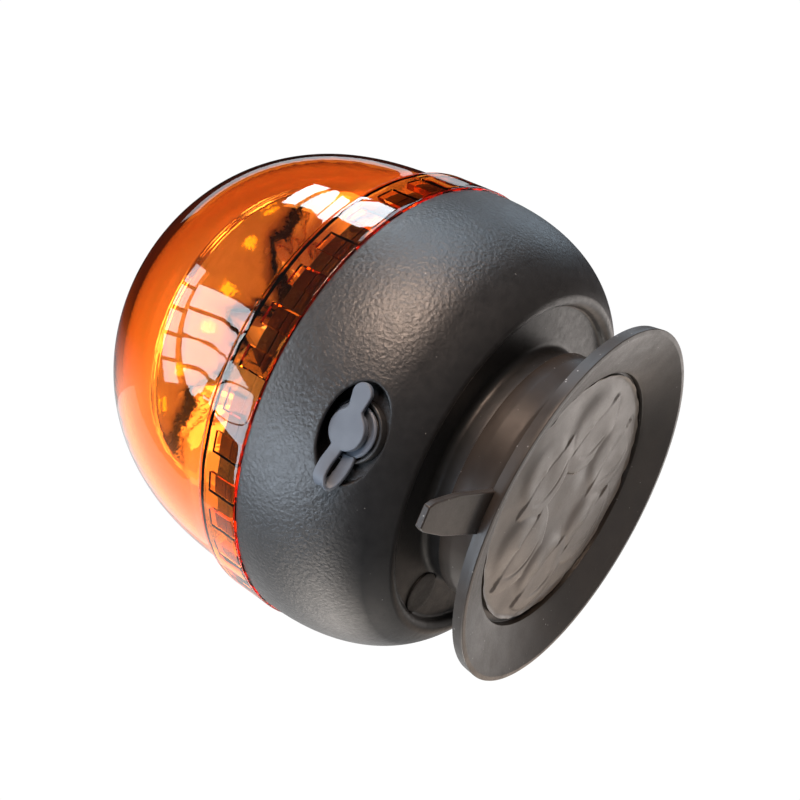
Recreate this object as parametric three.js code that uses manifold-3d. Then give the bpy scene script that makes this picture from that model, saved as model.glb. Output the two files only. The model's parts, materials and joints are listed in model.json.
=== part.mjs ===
// Cordless amber LED warning beacon on a magnetic suction foot.
// Millimetres, +Z up through the dome. The origin is the centre of the foot's rim plane.

import * as THREE from "three";
import { mergeVertices } from "three/addons/utils/BufferGeometryUtils.js";
import Module from "manifold-3d";

const wasm = await Module();
wasm.setup();

// Driving dimensions.
const JOINT_RADIUS = 65; // outer radius where the lens meets the housing
const JOINT_Z = 57.2; // height of that joint
const TOTAL_HEIGHT = 144.75; // foot rim to the top of the dome
const FOOT_RADIUS = 49.5; // rim of the suction cup
const NECK_RADIUS = 35; // neck of the suction cup
const NECK_TOP_Z = 18; // top face of the suction cup
const MEMBRANE_RADIUS = 34.7;
const MEMBRANE_Z = 5.1; // underside of the magnet membrane
const MAGNET_COUNT = 6;
const MAGNET_RADIUS = 9;
const MAGNET_RING_RADIUS = 20.5;
const MAGNET_PHASE = 8.5; // degrees from the -Y side
const WALL = 2.5; // moulded wall of the housing
const LENS_WALL = 2.3;
const GAP = 0.3; // clearance between neighbouring pieces
const RIB_COUNT = 36; // grip ribs inside the lens collar
const LED_COUNT = 10;
const CELL_RADIUS = 9.2;
const CELL_LENGTH = 65;
const PORT_AZIMUTH = -9.7; // degrees from the -Y side
const BUTTON_AZIMUTH = -78;
const TAB_AZIMUTH = -12.5;
const ROUND_STEPS = 36; // facets of the large turned parts

const rad = THREE.MathUtils.degToRad;
const V2 = (r, z) => new THREE.Vector2(r, z);

// ---- Solids: three.js geometry in, manifold solid out ----

function weld(geometry) {
  const bare = geometry.clone();
  bare.deleteAttribute("normal");
  bare.deleteAttribute("uv");
  return mergeVertices(bare, 1e-4);
}

function signedVolume(positions, triangles) {
  const corner = (i) => new THREE.Vector3().fromArray(positions, 3 * i);
  let six = 0;
  for (let t = 0; t < triangles.length; t += 3) {
    const [a, b, c] = [triangles[t], triangles[t + 1], triangles[t + 2]].map(corner);
    six += a.dot(b.cross(c));
  }
  return six / 6;
}

function solid(geometry) {
  const welded = weld(geometry);
  const positions = Float32Array.from(welded.attributes.position.array);
  const index = welded.index.array;
  const kept = [];
  for (let t = 0; t < index.length; t += 3) {
    const [a, b, c] = [index[t], index[t + 1], index[t + 2]];
    if (a !== b && b !== c && c !== a) kept.push(a, b, c);
  }
  if (signedVolume(positions, kept) < 0) kept.reverse();
  return new wasm.Manifold(
    new wasm.Mesh({ numProp: 3, vertProperties: positions, triVerts: Uint32Array.from(kept) }),
  );
}

function union(...solids) {
  return solids.reduce((whole, next) => whole.add(next));
}

function cut(body, ...tools) {
  return tools.reduce((rest, tool) => rest.subtract(tool), body);
}

// A profile of (radius, height) points turned about Z.
function turned(profile, steps = ROUND_STEPS) {
  return solid(new THREE.LatheGeometry(profile, steps).rotateX(Math.PI / 2));
}

// A closed ring profile turned about Z: its last point repeats its first.
function turnedRing(profile, steps = ROUND_STEPS) {
  return turned([...profile, profile[0]], steps);
}

function tube(inner, outer, low, high, steps = 16) {
  return turnedRing([V2(inner, low), V2(outer, low), V2(outer, high), V2(inner, high)], steps);
}

function rod(radius, low, high, steps = 16) {
  const shape = new THREE.CylinderGeometry(radius, radius, high - low, steps);
  return solid(shape.rotateX(Math.PI / 2).translate(0, 0, (low + high) / 2));
}

// A box from its lowest to its highest corner.
function block(low, high) {
  const size = high.map((value, i) => value - low[i]);
  const centre = high.map((value, i) => (value + low[i]) / 2);
  return solid(new THREE.BoxGeometry(...size).translate(...centre));
}

// An outline in X and Z pushed along Y from one depth to another.
function slab(outline, near, far) {
  const geometry = new THREE.ExtrudeGeometry(outline, {
    depth: far - near,
    bevelEnabled: false,
    curveSegments: 10,
  });
  return solid(geometry.rotateX(Math.PI / 2).translate(0, far, 0));
}

function place(shape, { x = 0, y = 0, z = 0, turn = 0 }) {
  const matrix = new THREE.Matrix4().makeRotationZ(rad(turn)).setPosition(x, y, z);
  return shape.transform(matrix.elements);
}

// The point at a radius and an azimuth counted from -Y towards +X.
function around(radius, azimuth) {
  return { x: radius * Math.sin(rad(azimuth)), y: -radius * Math.cos(rad(azimuth)) };
}

function arc(centreR, centreZ, radius, from, to, steps) {
  const points = [];
  for (let i = 0; i <= steps; i += 1) {
    const angle = rad(from + ((to - from) * i) / steps);
    points.push(V2(centreR + radius * Math.cos(angle), centreZ + radius * Math.sin(angle)));
  }
  return points;
}

// A quarter of a superellipse from its side (angle 0) towards its pole (angle 90).
function superArc({ core, halfWidth, baseZ, height, power }, from, to, steps) {
  const points = [];
  for (let i = 0; i <= steps; i += 1) {
    const angle = rad(from + ((to - from) * i) / steps);
    const radius = core + halfWidth * Math.max(Math.cos(angle), 0) ** (2 / power);
    points.push(V2(radius, baseZ + height * Math.sin(angle) ** (2 / power)));
  }
  return points;
}

// ---- Materials ----

const finish = (color, roughness, metalness = 0, more = {}) =>
  new THREE.MeshStandardMaterial({ color, roughness, metalness, ...more });

const paint = {
  housing: () => finish(0x1d1e20, 0.62),
  rubber: () => finish(0x26262a, 0.7),
  capRubber: () => finish(0x5f6c78, 0.75),
  membrane: () => finish(0x8f8a86, 0.55),
  amber: () => finish(0xe8730f, 0.12, 0, { transparent: true, opacity: 0.6 }),
  mirror: () => finish(0xe6e2da, 0.12, 1),
  steel: () => finish(0xb9bcc0, 0.3, 1),
  alloy: () => finish(0xc4c8cc, 0.4, 1),
  board: () => finish(0xe9ebe6, 0.5),
  greenBoard: () => finish(0x1f5a34, 0.5),
  chip: () => finish(0x17181a, 0.5),
  led: () => finish(0xf1c232, 0.35),
  cell: () => finish(0x2f6fb3, 0.45),
  tray: () => finish(0x2a2b2e, 0.6),
  wire: () => finish(0xa31d1d, 0.5),
};

const beacon = new THREE.Group();

function add(name, shape, material, parent = beacon) {
  const { numProp, vertProperties, triVerts } = shape.getMesh();
  const geometry = new THREE.BufferGeometry();
  const positions = new Float32Array((vertProperties.length / numProp) * 3);
  for (let i = 0; i < positions.length / 3; i += 1) {
    for (let axis = 0; axis < 3; axis += 1) {
      positions[3 * i + axis] = vertProperties[numProp * i + axis];
    }
  }
  geometry.setAttribute("position", new THREE.BufferAttribute(positions, 3));
  geometry.setIndex(Array.from(triVerts));
  geometry.computeVertexNormals();
  const mesh = new THREE.Mesh(geometry, material);
  mesh.name = name;
  parent.add(mesh);
  return mesh;
}

// A pan-head screw standing on z = 0 with its shank below.
function screw(headRadius, headHeight, shankRadius, length) {
  return union(rod(headRadius, 0, headHeight, 10), rod(shankRadius, -length, 0.1, 8));
}

// ---- Base housing ----

const BOWL = { core: 39.9, halfWidth: 25.1, baseZ: JOINT_Z, height: -38.1, power: 2.137 };
const BOWL_INSIDE = { ...BOWL, halfWidth: BOWL.halfWidth - WALL, height: BOWL.height + WALL };
const RECESS_RADIUS = 46.2; // outer wall of the ring recess round the neck
const RECESS_Z = 23.9;
const RECESS_ROUND = 1;
const RIDGE = { radius: 48.4, z: 22.9, round: 2.2 }; // lip between the bowl and the recess
const HUB_RADIUS = 33.6;
const HUB_Z = NECK_TOP_Z + GAP;
const FLOOR_Z = RECESS_Z + WALL; // inside floor over the recess
const SPIGOT_RADIUS = 61.9;
const SPIGOT_BORE = 59.4;
const SPIGOT_TOP_Z = 66.5;
const SHOULDER_Z = JOINT_Z - GAP / 2;
const GROOVE_Z = 60.2; // groove of the lens gasket
const GROOVE_DEPTH = 1.4;
const GROOVE_HEIGHT = 2.4;
const BOLT_RADIUS = 4;
const BOLT_HOLE = 4.4;
const POST_RADIUS = 3.5;
const POST_RING = 55.4;
const POST_AZIMUTHS = [50, 170, 290];
const POST_FOOT_Z = 30;
const PILOT_RADIUS = 1.7; // screw holes in the plastic
const PILOT_DEPTH = 9.2;
const PLATE_Z = 58.2; // underside of the chassis plate
const TRAY_BOSS = { x: 37.5, y: 25, radius: 3.6, top: 29 };

function bowlOutside() {
  const ridge = arc(RIDGE.radius, RIDGE.z, RIDGE.round, -20, -180, 4);
  const fillet = arc(RECESS_RADIUS - RECESS_ROUND, RECESS_Z - RECESS_ROUND, RECESS_ROUND, 0, 90, 2);
  return [
    V2(JOINT_RADIUS - 0.25, SHOULDER_Z),
    ...superArc(BOWL, 8, 66, 7),
    ...ridge,
    ...fillet,
    V2(HUB_RADIUS + 0.8, RECESS_Z),
    V2(HUB_RADIUS, RECESS_Z - 0.8),
    V2(HUB_RADIUS, HUB_Z + 0.4),
    V2(HUB_RADIUS - 0.4, HUB_Z),
  ];
}

// The same outside, filled to its axis: nothing of the housing stands out of it.
function bowlFilled() {
  return turned([
    V2(0, SPIGOT_TOP_Z),
    V2(SPIGOT_RADIUS, SPIGOT_TOP_Z),
    V2(SPIGOT_RADIUS, SHOULDER_Z),
    ...bowlOutside(),
    V2(0, HUB_Z),
  ]);
}

function bowlShell() {
  return turnedRing([
    V2(SPIGOT_RADIUS - 0.5, SPIGOT_TOP_Z),
    V2(SPIGOT_RADIUS, SPIGOT_TOP_Z - 0.5),
    V2(SPIGOT_RADIUS, GROOVE_Z + GROOVE_HEIGHT),
    V2(SPIGOT_RADIUS - GROOVE_DEPTH, GROOVE_Z + GROOVE_HEIGHT),
    V2(SPIGOT_RADIUS - GROOVE_DEPTH, GROOVE_Z),
    V2(SPIGOT_RADIUS, GROOVE_Z),
    V2(SPIGOT_RADIUS, SHOULDER_Z),
    ...bowlOutside(),
    V2(BOLT_HOLE, HUB_Z),
    V2(BOLT_HOLE, HUB_Z + WALL),
    V2(HUB_RADIUS - WALL, HUB_Z + WALL),
    V2(HUB_RADIUS - WALL, FLOOR_Z),
    ...superArc(BOWL_INSIDE, 58.9, 8, 5),
    V2(SPIGOT_BORE, JOINT_Z),
    V2(SPIGOT_BORE, SPIGOT_TOP_Z),
  ]);
}

// Charge port, in a frame turned so that -Y points out of the port.
const PORT = { x: 0.4, z: 34.9, floor: 56.3, tilt: 30, halfWidth: 12, halfHeight: 7.4 };
const PORT_OPENING_OFFSET = 58.9; // of the opening's axis from the origin, across that axis
const PORT_PAD = { x: 14.5, inner: 53.6, low: 24.6, high: 45 };
const SOCKET_RADIUS = 5.7;

function portPad() {
  const { x, inner, low, high } = PORT_PAD;
  return place(block([-x, -JOINT_RADIUS, low], [x, -inner, high]), { turn: PORT_AZIMUTH });
}

// The oval mouth is bored along a slope, and ends at the upright floor behind the port.
function portMouth() {
  const oval = new THREE.Shape();
  oval.absellipse(0, 0, PORT.halfWidth, PORT.halfHeight, 0, 2 * Math.PI);
  const bore = new THREE.ExtrudeGeometry(oval, {
    depth: 80,
    bevelEnabled: false,
    curveSegments: 14,
  });
  bore.rotateX(Math.PI / 2).translate(0, -10, PORT_OPENING_OFFSET);
  bore.rotateX(rad(PORT.tilt));
  const outside = block([-20, -2 * JOINT_RADIUS, 0], [20, -PORT.floor, 70]);
  return place(solid(bore).intersect(outside), { turn: PORT_AZIMUTH });
}

// Button, in the recess floor.
const BUTTON_RADIUS = 5.8;
const BUTTON_RING = 40.1;
const BUTTON_TRAVEL = 1.2;
const BUTTON_PROUD = 1.6;
const button = around(BUTTON_RING, BUTTON_AZIMUTH);

// The four corners that the battery tray is screwed down at.
const traySpots = [[-1, -1], [1, -1], [1, 1], [-1, 1]].map(([sx, sy]) => ({
  x: sx * TRAY_BOSS.x,
  y: sy * TRAY_BOSS.y,
}));
const postSpots = POST_AZIMUTHS.map((azimuth) => around(POST_RING, azimuth));

// One upright rod at each of several spots.
function rodsAt(spots, radius, low, high, steps = 8) {
  return spots.map((spot) => place(rod(radius, low, high, steps), spot));
}

function housingSupports() {
  return union(
    portPad(),
    ...rodsAt(postSpots, POST_RADIUS, POST_FOOT_Z, PLATE_Z - 0.2, 10),
    ...rodsAt(traySpots, TRAY_BOSS.radius, FLOOR_Z - 0.5, TRAY_BOSS.top, 10),
  );
}

function socketHole() {
  const radius = SOCKET_RADIUS + GAP;
  const bar = new THREE.CylinderGeometry(radius, radius, 20, 16);
  return place(solid(bar.translate(PORT.x, -PORT.floor, PORT.z)), { turn: PORT_AZIMUTH });
}

function baseHousing() {
  return cut(
    bowlShell().add(housingSupports().intersect(bowlFilled())),
    portMouth(),
    socketHole(),
    place(rod(BUTTON_RADIUS + GAP, RECESS_Z - 3, FLOOR_Z + 1, 20), button),
    ...rodsAt(postSpots, PILOT_RADIUS, PLATE_Z - PILOT_DEPTH, PLATE_Z + 1),
    ...rodsAt(traySpots, PILOT_RADIUS, FLOOR_Z - 1.6, TRAY_BOSS.top + 1),
  );
}

// ---- Lens ----

const COLLAR_TOP_Z = 69.4;
const COLLAR_BORE = 63.5;
const DOME_BASE_Z = 75.8;
const DOME = {
  core: 0,
  halfWidth: 63.66,
  baseZ: DOME_BASE_Z,
  height: TOTAL_HEIGHT - DOME_BASE_Z,
  power: 2.44,
};
const DOME_INSIDE = {
  ...DOME,
  halfWidth: DOME.halfWidth - LENS_WALL,
  height: DOME.height - LENS_WALL,
};
const RIB = { inner: 62.45, low: 58.6, high: 67.2, phase: 14.1 };

function lensDome() {
  const shell = turned([
    ...superArc(DOME_INSIDE, 90, 0, 6),
    V2(DOME_INSIDE.halfWidth, 71),
    V2(COLLAR_BORE, COLLAR_TOP_Z - 0.4),
    V2(COLLAR_BORE, JOINT_Z + GAP / 2),
    V2(JOINT_RADIUS + 0.1, JOINT_Z + GAP / 2),
    V2(JOINT_RADIUS + 0.6, JOINT_Z + 1),
    V2(JOINT_RADIUS + 0.7, COLLAR_TOP_Z - 0.8),
    V2(JOINT_RADIUS + 0.2, COLLAR_TOP_Z + 0.9),
    V2(DOME.halfWidth + 0.3, COLLAR_TOP_Z + 2.1),
    ...superArc(DOME, 0, 90, 8),
  ]);
  const pitch = 360 / RIB_COUNT;
  const ribWidth = 2 * COLLAR_BORE * Math.tan(rad(pitch / 4));
  const outer = COLLAR_BORE + 0.7;
  const rib = block([-ribWidth / 2, -outer, RIB.low], [ribWidth / 2, -RIB.inner, RIB.high]);
  const ribs = [];
  for (let i = 0; i < RIB_COUNT; i += 1) ribs.push(place(rib, { turn: RIB.phase + i * pitch }));
  return union(shell, ...ribs);
}

function lensGasket() {
  const slack = 0.2; // in the groove, above and below
  const inner = SPIGOT_RADIUS - GROOVE_DEPTH + 0.1;
  const top = GROOVE_Z + GROOVE_HEIGHT - slack;
  return tube(inner, SPIGOT_RADIUS + slack, GROOVE_Z + slack, top, ROUND_STEPS);
}

// ---- Suction foot ----

const CAVITY = { radius: 35.2, mouth: 4.9, step: 7.6, upper: 31.7, top: 14.3 };
const TAB = { rootWidth: 10.5, tipWidth: 6, tip: 74, low: 2.3, high: 4 };

function cupFlare() {
  const points = [];
  const curve = new THREE.QuadraticBezierCurve(
    V2(NECK_RADIUS, 14.2),
    V2(36.6, 5.6),
    V2(FOOT_RADIUS - 0.3, 2.45),
  );
  for (const point of curve.getPoints(6)) points.push(V2(point.x, point.y));
  return points;
}

function pullTab() {
  const half = TAB.rootWidth / 2;
  const tipHalf = TAB.tipWidth / 2;
  const outline = new THREE.Shape();
  outline.moveTo(-half, -FOOT_RADIUS + 1.4);
  outline.lineTo(-half + 0.6, -TAB.tip + 10);
  outline.lineTo(-tipHalf, -TAB.tip + 0.8);
  outline.lineTo(-tipHalf + 1, -TAB.tip);
  outline.lineTo(tipHalf - 1, -TAB.tip);
  outline.lineTo(tipHalf, -TAB.tip + 0.8);
  outline.lineTo(half - 0.6, -TAB.tip + 10);
  outline.lineTo(half, -FOOT_RADIUS + 1.4);
  const flat = new THREE.ExtrudeGeometry(outline, { depth: TAB.high - TAB.low, bevelEnabled: false });
  return place(solid(flat.translate(0, 0, TAB.low)), { turn: TAB_AZIMUTH });
}

function suctionCup() {
  const cup = turnedRing([
    V2(BOLT_HOLE, NECK_TOP_Z),
    V2(BOLT_HOLE, CAVITY.top),
    V2(CAVITY.upper, CAVITY.top),
    V2(CAVITY.upper, CAVITY.step),
    V2(CAVITY.radius, CAVITY.step),
    V2(CAVITY.radius, CAVITY.mouth),
    V2(CAVITY.radius + 0.7, CAVITY.mouth - 0.4),
    V2(FOOT_RADIUS - 1.2, 0),
    V2(FOOT_RADIUS - 0.2, 0),
    V2(FOOT_RADIUS, 0.2),
    V2(FOOT_RADIUS, 2.1),
    ...cupFlare().reverse(),
    V2(NECK_RADIUS, NECK_TOP_Z - 0.6),
    V2(NECK_RADIUS - 0.6, NECK_TOP_Z),
  ]);
  return cup.add(pullTab());
}

const HOLDER = { low: 6, flange: 7.3, top: 14, radius: 34.8, bodyRadius: 31.3 };
const POCKET = { radius: 9.25, top: 11.3 };
const BOLT_HEAD = { radius: 7.4, low: 6.4, high: 10.4, pocket: 8 };
const BOLT_TOP = 29;
const MAGNET_THICK = 5;
const MEMBRANE_THICK = 0.6;
const WASHER_Z = HUB_Z + WALL + 0.1;
const NUT = { low: 22.6, high: 28.6, radius: 7.4 };
const magnetSpots = Array.from({ length: MAGNET_COUNT }, (_, i) =>
  around(MAGNET_RING_RADIUS, MAGNET_PHASE + (i * 360) / MAGNET_COUNT),
);

function magnetHolder() {
  const body = turned([
    V2(0, HOLDER.low),
    V2(HOLDER.radius, HOLDER.low),
    V2(HOLDER.radius, HOLDER.flange),
    V2(HOLDER.bodyRadius, HOLDER.flange),
    V2(HOLDER.bodyRadius, HOLDER.top),
    V2(0, HOLDER.top),
  ]);
  const under = HOLDER.low - 1;
  return cut(
    body,
    ...rodsAt(magnetSpots, POCKET.radius, under, POCKET.top, 16),
    rod(BOLT_HEAD.pocket, under, BOLT_HEAD.high + 0.2),
    rod(BOLT_HOLE, under, HOLDER.top + 1),
  );
}

function footBolt() {
  const head = rod(BOLT_HEAD.radius, BOLT_HEAD.low, BOLT_HEAD.high, 6);
  return union(head, rod(BOLT_RADIUS, BOLT_HEAD.high - 0.1, BOLT_TOP));
}

function footNut() {
  const bore = rod(BOLT_RADIUS + 0.15, NUT.low - 1, NUT.high + 1);
  return cut(rod(NUT.radius, NUT.low, NUT.high, 6), bore);
}

// ---- Electronics ----

const CELL_Z = 40.2;
const CELL_PITCH = 19.6;
const TRAY = { x: 31, y: 37, low: 29.3 };
const EAR = { reach: 4, half: 4.5, thick: 2.5 };
const CLEAR_RADIUS = 1.8; // screw holes that the screws pass through

function cell() {
  const half = CELL_LENGTH / 2;
  const body = new THREE.CylinderGeometry(CELL_RADIUS, CELL_RADIUS, CELL_LENGTH - 1, 16);
  const nub = new THREE.CylinderGeometry(2.8, 2.8, 2, 10);
  return union(solid(body.translate(0, -0.5, 0)), solid(nub.translate(0, half - 1, 0)));
}

function trayEar({ x, y }) {
  const [inner, outer] = [Math.sign(x) * (TRAY.x - 1), x + Math.sign(x) * EAR.reach];
  const low = [Math.min(inner, outer), y - EAR.half, TRAY.low];
  return block(low, [Math.max(inner, outer), y + EAR.half, TRAY.low + EAR.thick]);
}

// The round bed of one cell, with a little room round it.
function trayBed(side) {
  const radius = CELL_RADIUS + 0.2;
  const bed = new THREE.CylinderGeometry(radius, radius, CELL_LENGTH + 1.6, 16);
  return solid(bed.translate(side * CELL_PITCH, 0, CELL_Z));
}

function batteryTray() {
  const box = block([-TRAY.x, -TRAY.y, TRAY.low], [TRAY.x, TRAY.y, CELL_Z]);
  const holes = rodsAt(traySpots, CLEAR_RADIUS, TRAY.low - 1, CELL_Z);
  return cut(union(box, ...traySpots.map(trayEar)), ...[-1, 0, 1].map(trayBed), ...holes);
}

const CONTROL = { z: 52.6, thick: 1.6, radius: 46 };
const SPACER_RING = 40;
const SPACER_AZIMUTHS = [30, 150, 270];
const LEAD_HOLE = { x: 0, y: 32, radius: 2.6 };

const CONTROL_TOP = CONTROL.z + CONTROL.thick;
const spacerSpots = SPACER_AZIMUTHS.map((azimuth) => around(SPACER_RING, azimuth));

function controlBoard() {
  const disc = rod(CONTROL.radius, CONTROL.z, CONTROL_TOP, ROUND_STEPS);
  return cut(disc, ...rodsAt(spacerSpots, CLEAR_RADIUS, CONTROL.z - 1, CONTROL_TOP + 1));
}

const PLATE_THICK = 2;
const LED_BOARD = { z: 60.4, thick: 1.6, radius: 51.5 };
const LED_RING = 43;
const REFLECTOR_SCREW_RING = 9;
const reflectorSpots = [0, 120, 240].map((azimuth) => around(REFLECTOR_SCREW_RING, azimuth));
const LED_BOARD_TOP = LED_BOARD.z + LED_BOARD.thick;

function chassisPlate() {
  const [low, top] = [PLATE_Z, PLATE_Z + PLATE_THICK];
  return cut(
    rod(SPIGOT_BORE - 0.5, low, top, ROUND_STEPS),
    ...rodsAt([...postSpots, ...reflectorSpots], CLEAR_RADIUS, low - 1, top + 1),
    place(rod(LEAD_HOLE.radius, low - 1, top + 1, 10), LEAD_HOLE),
  );
}

function ledBoard() {
  const disc = rod(LED_BOARD.radius, LED_BOARD.z, LED_BOARD_TOP, ROUND_STEPS);
  return cut(disc, ...rodsAt(reflectorSpots, CLEAR_RADIUS, LED_BOARD.z - 1, LED_BOARD_TOP + 1));
}

function led() {
  const body = block([-2.6, -2.6, 0], [2.6, 2.6, 1.2]);
  const lens = new THREE.SphereGeometry(2.1, 8, 4).translate(0, 0, 1);
  return union(body, solid(lens).intersect(block([-3, -3, 0.5], [3, 3, 4])));
}

// ---- Reflector: a flared cup with one hollow facet above each LED ----

const REFLECTOR = { footZ: 62.3, footRadius: 16, rise: 44.1, flare: 32.5, skin: 1.8, scallop: 4.2 };

function flarePoint(s) {
  return V2(
    REFLECTOR.footRadius + REFLECTOR.flare * s ** 1.25,
    REFLECTOR.footZ + REFLECTOR.rise * Math.sin((s * Math.PI) / 2) ** 0.9,
  );
}

// Presses the hollow facets into a turned flare, deepest halfway up and nothing at the rim.
function pressFacets(geometry) {
  const position = geometry.attributes.position;
  for (let i = 0; i < position.count; i += 1) {
    const [x, y, z] = [position.getX(i), position.getY(i), position.getZ(i)];
    const radius = Math.hypot(x, y);
    const rise = (z - REFLECTOR.footZ - 3) / (REFLECTOR.rise - 4);
    const height = THREE.MathUtils.clamp(rise, 0, 1);
    if (radius < 12 || height === 0) continue;
    const share = ((Math.atan2(x, -y) / (2 * Math.PI)) * LED_COUNT + LED_COUNT) % 1;
    const hollow = 4 * share * (1 - share);
    const depth = REFLECTOR.scallop * hollow * Math.sin(Math.PI * height ** 1.4);
    position.setXY(i, (x * (radius - depth)) / radius, (y * (radius - depth)) / radius);
  }
  return geometry;
}

function reflector() {
  const outside = [];
  const inside = [];
  const rows = 7;
  for (let i = 0; i <= rows; i += 1) {
    const point = flarePoint(i / rows);
    outside.push(point);
    inside.push(V2(point.x - REFLECTOR.skin, point.y + 1.1));
  }
  const rim = outside[rows];
  const profile = [
    V2(0, REFLECTOR.footZ),
    ...outside,
    V2(rim.x + 0.4, rim.y + 0.4),
    V2(rim.x + 0.4, rim.y + 3.2),
    V2(rim.x - 1.3, rim.y + 3.2),
    ...inside.reverse(),
    V2(0, REFLECTOR.footZ + 1.1),
  ];
  const flare = new THREE.LatheGeometry(profile, 4 * LED_COUNT).rotateX(Math.PI / 2);
  const holes = rodsAt(reflectorSpots, CLEAR_RADIUS, REFLECTOR.footZ - 1, REFLECTOR.footZ + 3);
  return cut(solid(pressFacets(flare)), ...holes);
}

// ---- Charge socket and its rubber cap, in the port's turned frame ----

const portFrame = new THREE.Group();
portFrame.rotation.z = rad(PORT_AZIMUTH);
beacon.add(portFrame);

// A round bar along the port's axis, between two distances from the beacon's axis.
function portBar(radius, from, to, steps = 16) {
  const bar = new THREE.CylinderGeometry(radius, radius, to - from, steps);
  return solid(bar.translate(PORT.x, -(from + to) / 2, PORT.z));
}

const SOCKET = { rear: 41, flangeRadius: 7.5, bore: 3.8, boreEnd: 44, pinEnd: 54 };
const SOCKET_NUT = { inner: 49.8, radius: 7 };
const FLANGE_FRONT = PORT.floor + 1.6;
const ANCHOR = { inner: 4, outer: 6.3, thick: 0.8 };
const CAP = { back: 59.3, front: 61, radius: 4.85, lugEnd: 11.2, lugHalf: 2.5, plugRadius: 2.8 };
const HINGE_X = -10.2; // upright axis of the tether's bend
const STRAP_HALF = 1.6;
const STRAP_DROP = 1.6; // of the anchored half below the cap's half

function chargeSocket() {
  const body = union(
    portBar(SOCKET_RADIUS, SOCKET.rear, PORT.floor + 0.8),
    portBar(SOCKET.flangeRadius, PORT.floor + 0.2, FLANGE_FRONT, 24),
  );
  return cut(body, portBar(SOCKET.bore, SOCKET.boreEnd, FLANGE_FRONT + 1));
}

function socketNut() {
  const bore = portBar(SOCKET_RADIUS + 0.2, SOCKET_NUT.inner - 1, PORT_PAD.inner);
  return cut(portBar(SOCKET_NUT.radius, SOCKET_NUT.inner, PORT_PAD.inner - GAP, 6), bore);
}

// The anchor ring round the socket, with the tether's return half.
function capTether() {
  const back = FLANGE_FRONT + 0.1;
  const ring = cut(
    portBar(ANCHOR.outer, back, back + ANCHOR.thick, 24),
    portBar(ANCHOR.inner, back - 1, back + 2, 16),
  );
  const strap = block(
    [HINGE_X + 0.2, -(back + ANCHOR.thick), PORT.z - STRAP_DROP - STRAP_HALF],
    [PORT.x - ANCHOR.inner - 0.6, -back, PORT.z - STRAP_DROP + STRAP_HALF],
  );
  return union(ring, strap);
}

// The cap disc with its pull lug, its plug and the tether's free half.
function chargeCap() {
  const lug = new THREE.Shape();
  lug.moveTo(0, PORT.z - 2.1);
  lug.lineTo(CAP.lugEnd - CAP.lugHalf, PORT.z - CAP.lugHalf);
  lug.absarc(CAP.lugEnd - CAP.lugHalf, PORT.z, CAP.lugHalf, -Math.PI / 2, Math.PI / 2, false);
  lug.lineTo(0, PORT.z + 2.1);
  const strap = block(
    [HINGE_X, -CAP.front, PORT.z - STRAP_HALF],
    [PORT.x - CAP.radius + 1, -(CAP.front - 1.1), PORT.z + STRAP_HALF],
  );
  return union(
    portBar(CAP.radius, CAP.back, CAP.front, 24),
    portBar(CAP.plugRadius, PORT.floor + 0.1, CAP.back + 0.5, 12),
    slab(lug, -CAP.front, -(CAP.front - 1.2)),
    strap,
  );
}

// ---- Button and its switch ----

const SPRING = { low: 28, high: 30.8, inner: 3, outer: 4.4 };
const BRACKET = { half: 4, inner: 8.8, outer: 10.6, low: 38, high: 40 };

function powerButton() {
  const face = RECESS_Z - BUTTON_PROUD;
  return turned([
    V2(0, face),
    V2(BUTTON_RADIUS - 0.7, face),
    V2(BUTTON_RADIUS, face + 0.7),
    V2(BUTTON_RADIUS, FLOOR_Z + GAP),
    V2(BUTTON_RADIUS + 1.2, FLOOR_Z + GAP),
    V2(BUTTON_RADIUS + 1.2, SPRING.low - 0.1),
    V2(0, SPRING.low - 0.1),
  ], 20);
}

// A bridge over the switch, on two legs.
function switchBracket() {
  const { half, inner, outer, low, high } = BRACKET;
  const bridge = block([-half, -outer, low], [half, outer, high]);
  const legs = [-1, 1].map((side) => {
    const [near, far] = [side * inner, side * outer].sort((a, b) => a - b);
    return block([-half, near, FLOOR_Z + 0.1], [half, far, low + 1]);
  });
  return union(bridge, ...legs);
}

function lead(points, radius) {
  const circle = new THREE.Shape();
  circle.absarc(0, 0, radius, 0, 2 * Math.PI);
  const path = new THREE.CatmullRomCurve3(points.map((p) => new THREE.Vector3(...p)));
  return solid(
    new THREE.ExtrudeGeometry(circle, {
      steps: 10,
      extrudePath: path,
      bevelEnabled: false,
      curveSegments: 4,
    }),
  );
}

// ---- Assembly ----

add("base_housing", baseHousing(), paint.housing());
add("lens_dome", lensDome(), paint.amber());
add("lens_gasket", lensGasket(), paint.rubber());

add("suction_cup", suctionCup(), paint.rubber());
add("magnet_holder", magnetHolder(), paint.tray());
magnetSpots.forEach((spot, i) => {
  const magnet = add(`magnet_${i + 1}`, rod(MAGNET_RADIUS, 0, MAGNET_THICK), paint.steel());
  magnet.position.set(spot.x, spot.y, HOLDER.low + 0.1);
});
const film = rod(MEMBRANE_RADIUS, MEMBRANE_Z, MEMBRANE_Z + MEMBRANE_THICK, ROUND_STEPS);
add("magnet_membrane", film, paint.membrane());
add("foot_bolt", footBolt(), paint.steel());
add("foot_washer", tube(BOLT_HOLE, 9, WASHER_Z, WASHER_Z + 1.5), paint.steel());
add("foot_nut", footNut(), paint.steel());

add("battery_tray", batteryTray(), paint.tray());
[-1, 0, 1].forEach((side, i) => {
  const battery = add(`battery_cell_${i + 1}`, cell(), paint.cell());
  battery.position.set(side * CELL_PITCH, 0, CELL_Z);
  battery.rotation.z = i === 1 ? Math.PI : 0;
});
traySpots.forEach((spot, i) => {
  const fixing = add(`tray_screw_${i + 1}`, screw(2.9, 1.9, 1.35, 6), paint.steel());
  fixing.position.set(spot.x, spot.y, TRAY.low + EAR.thick + 0.1);
});

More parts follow.
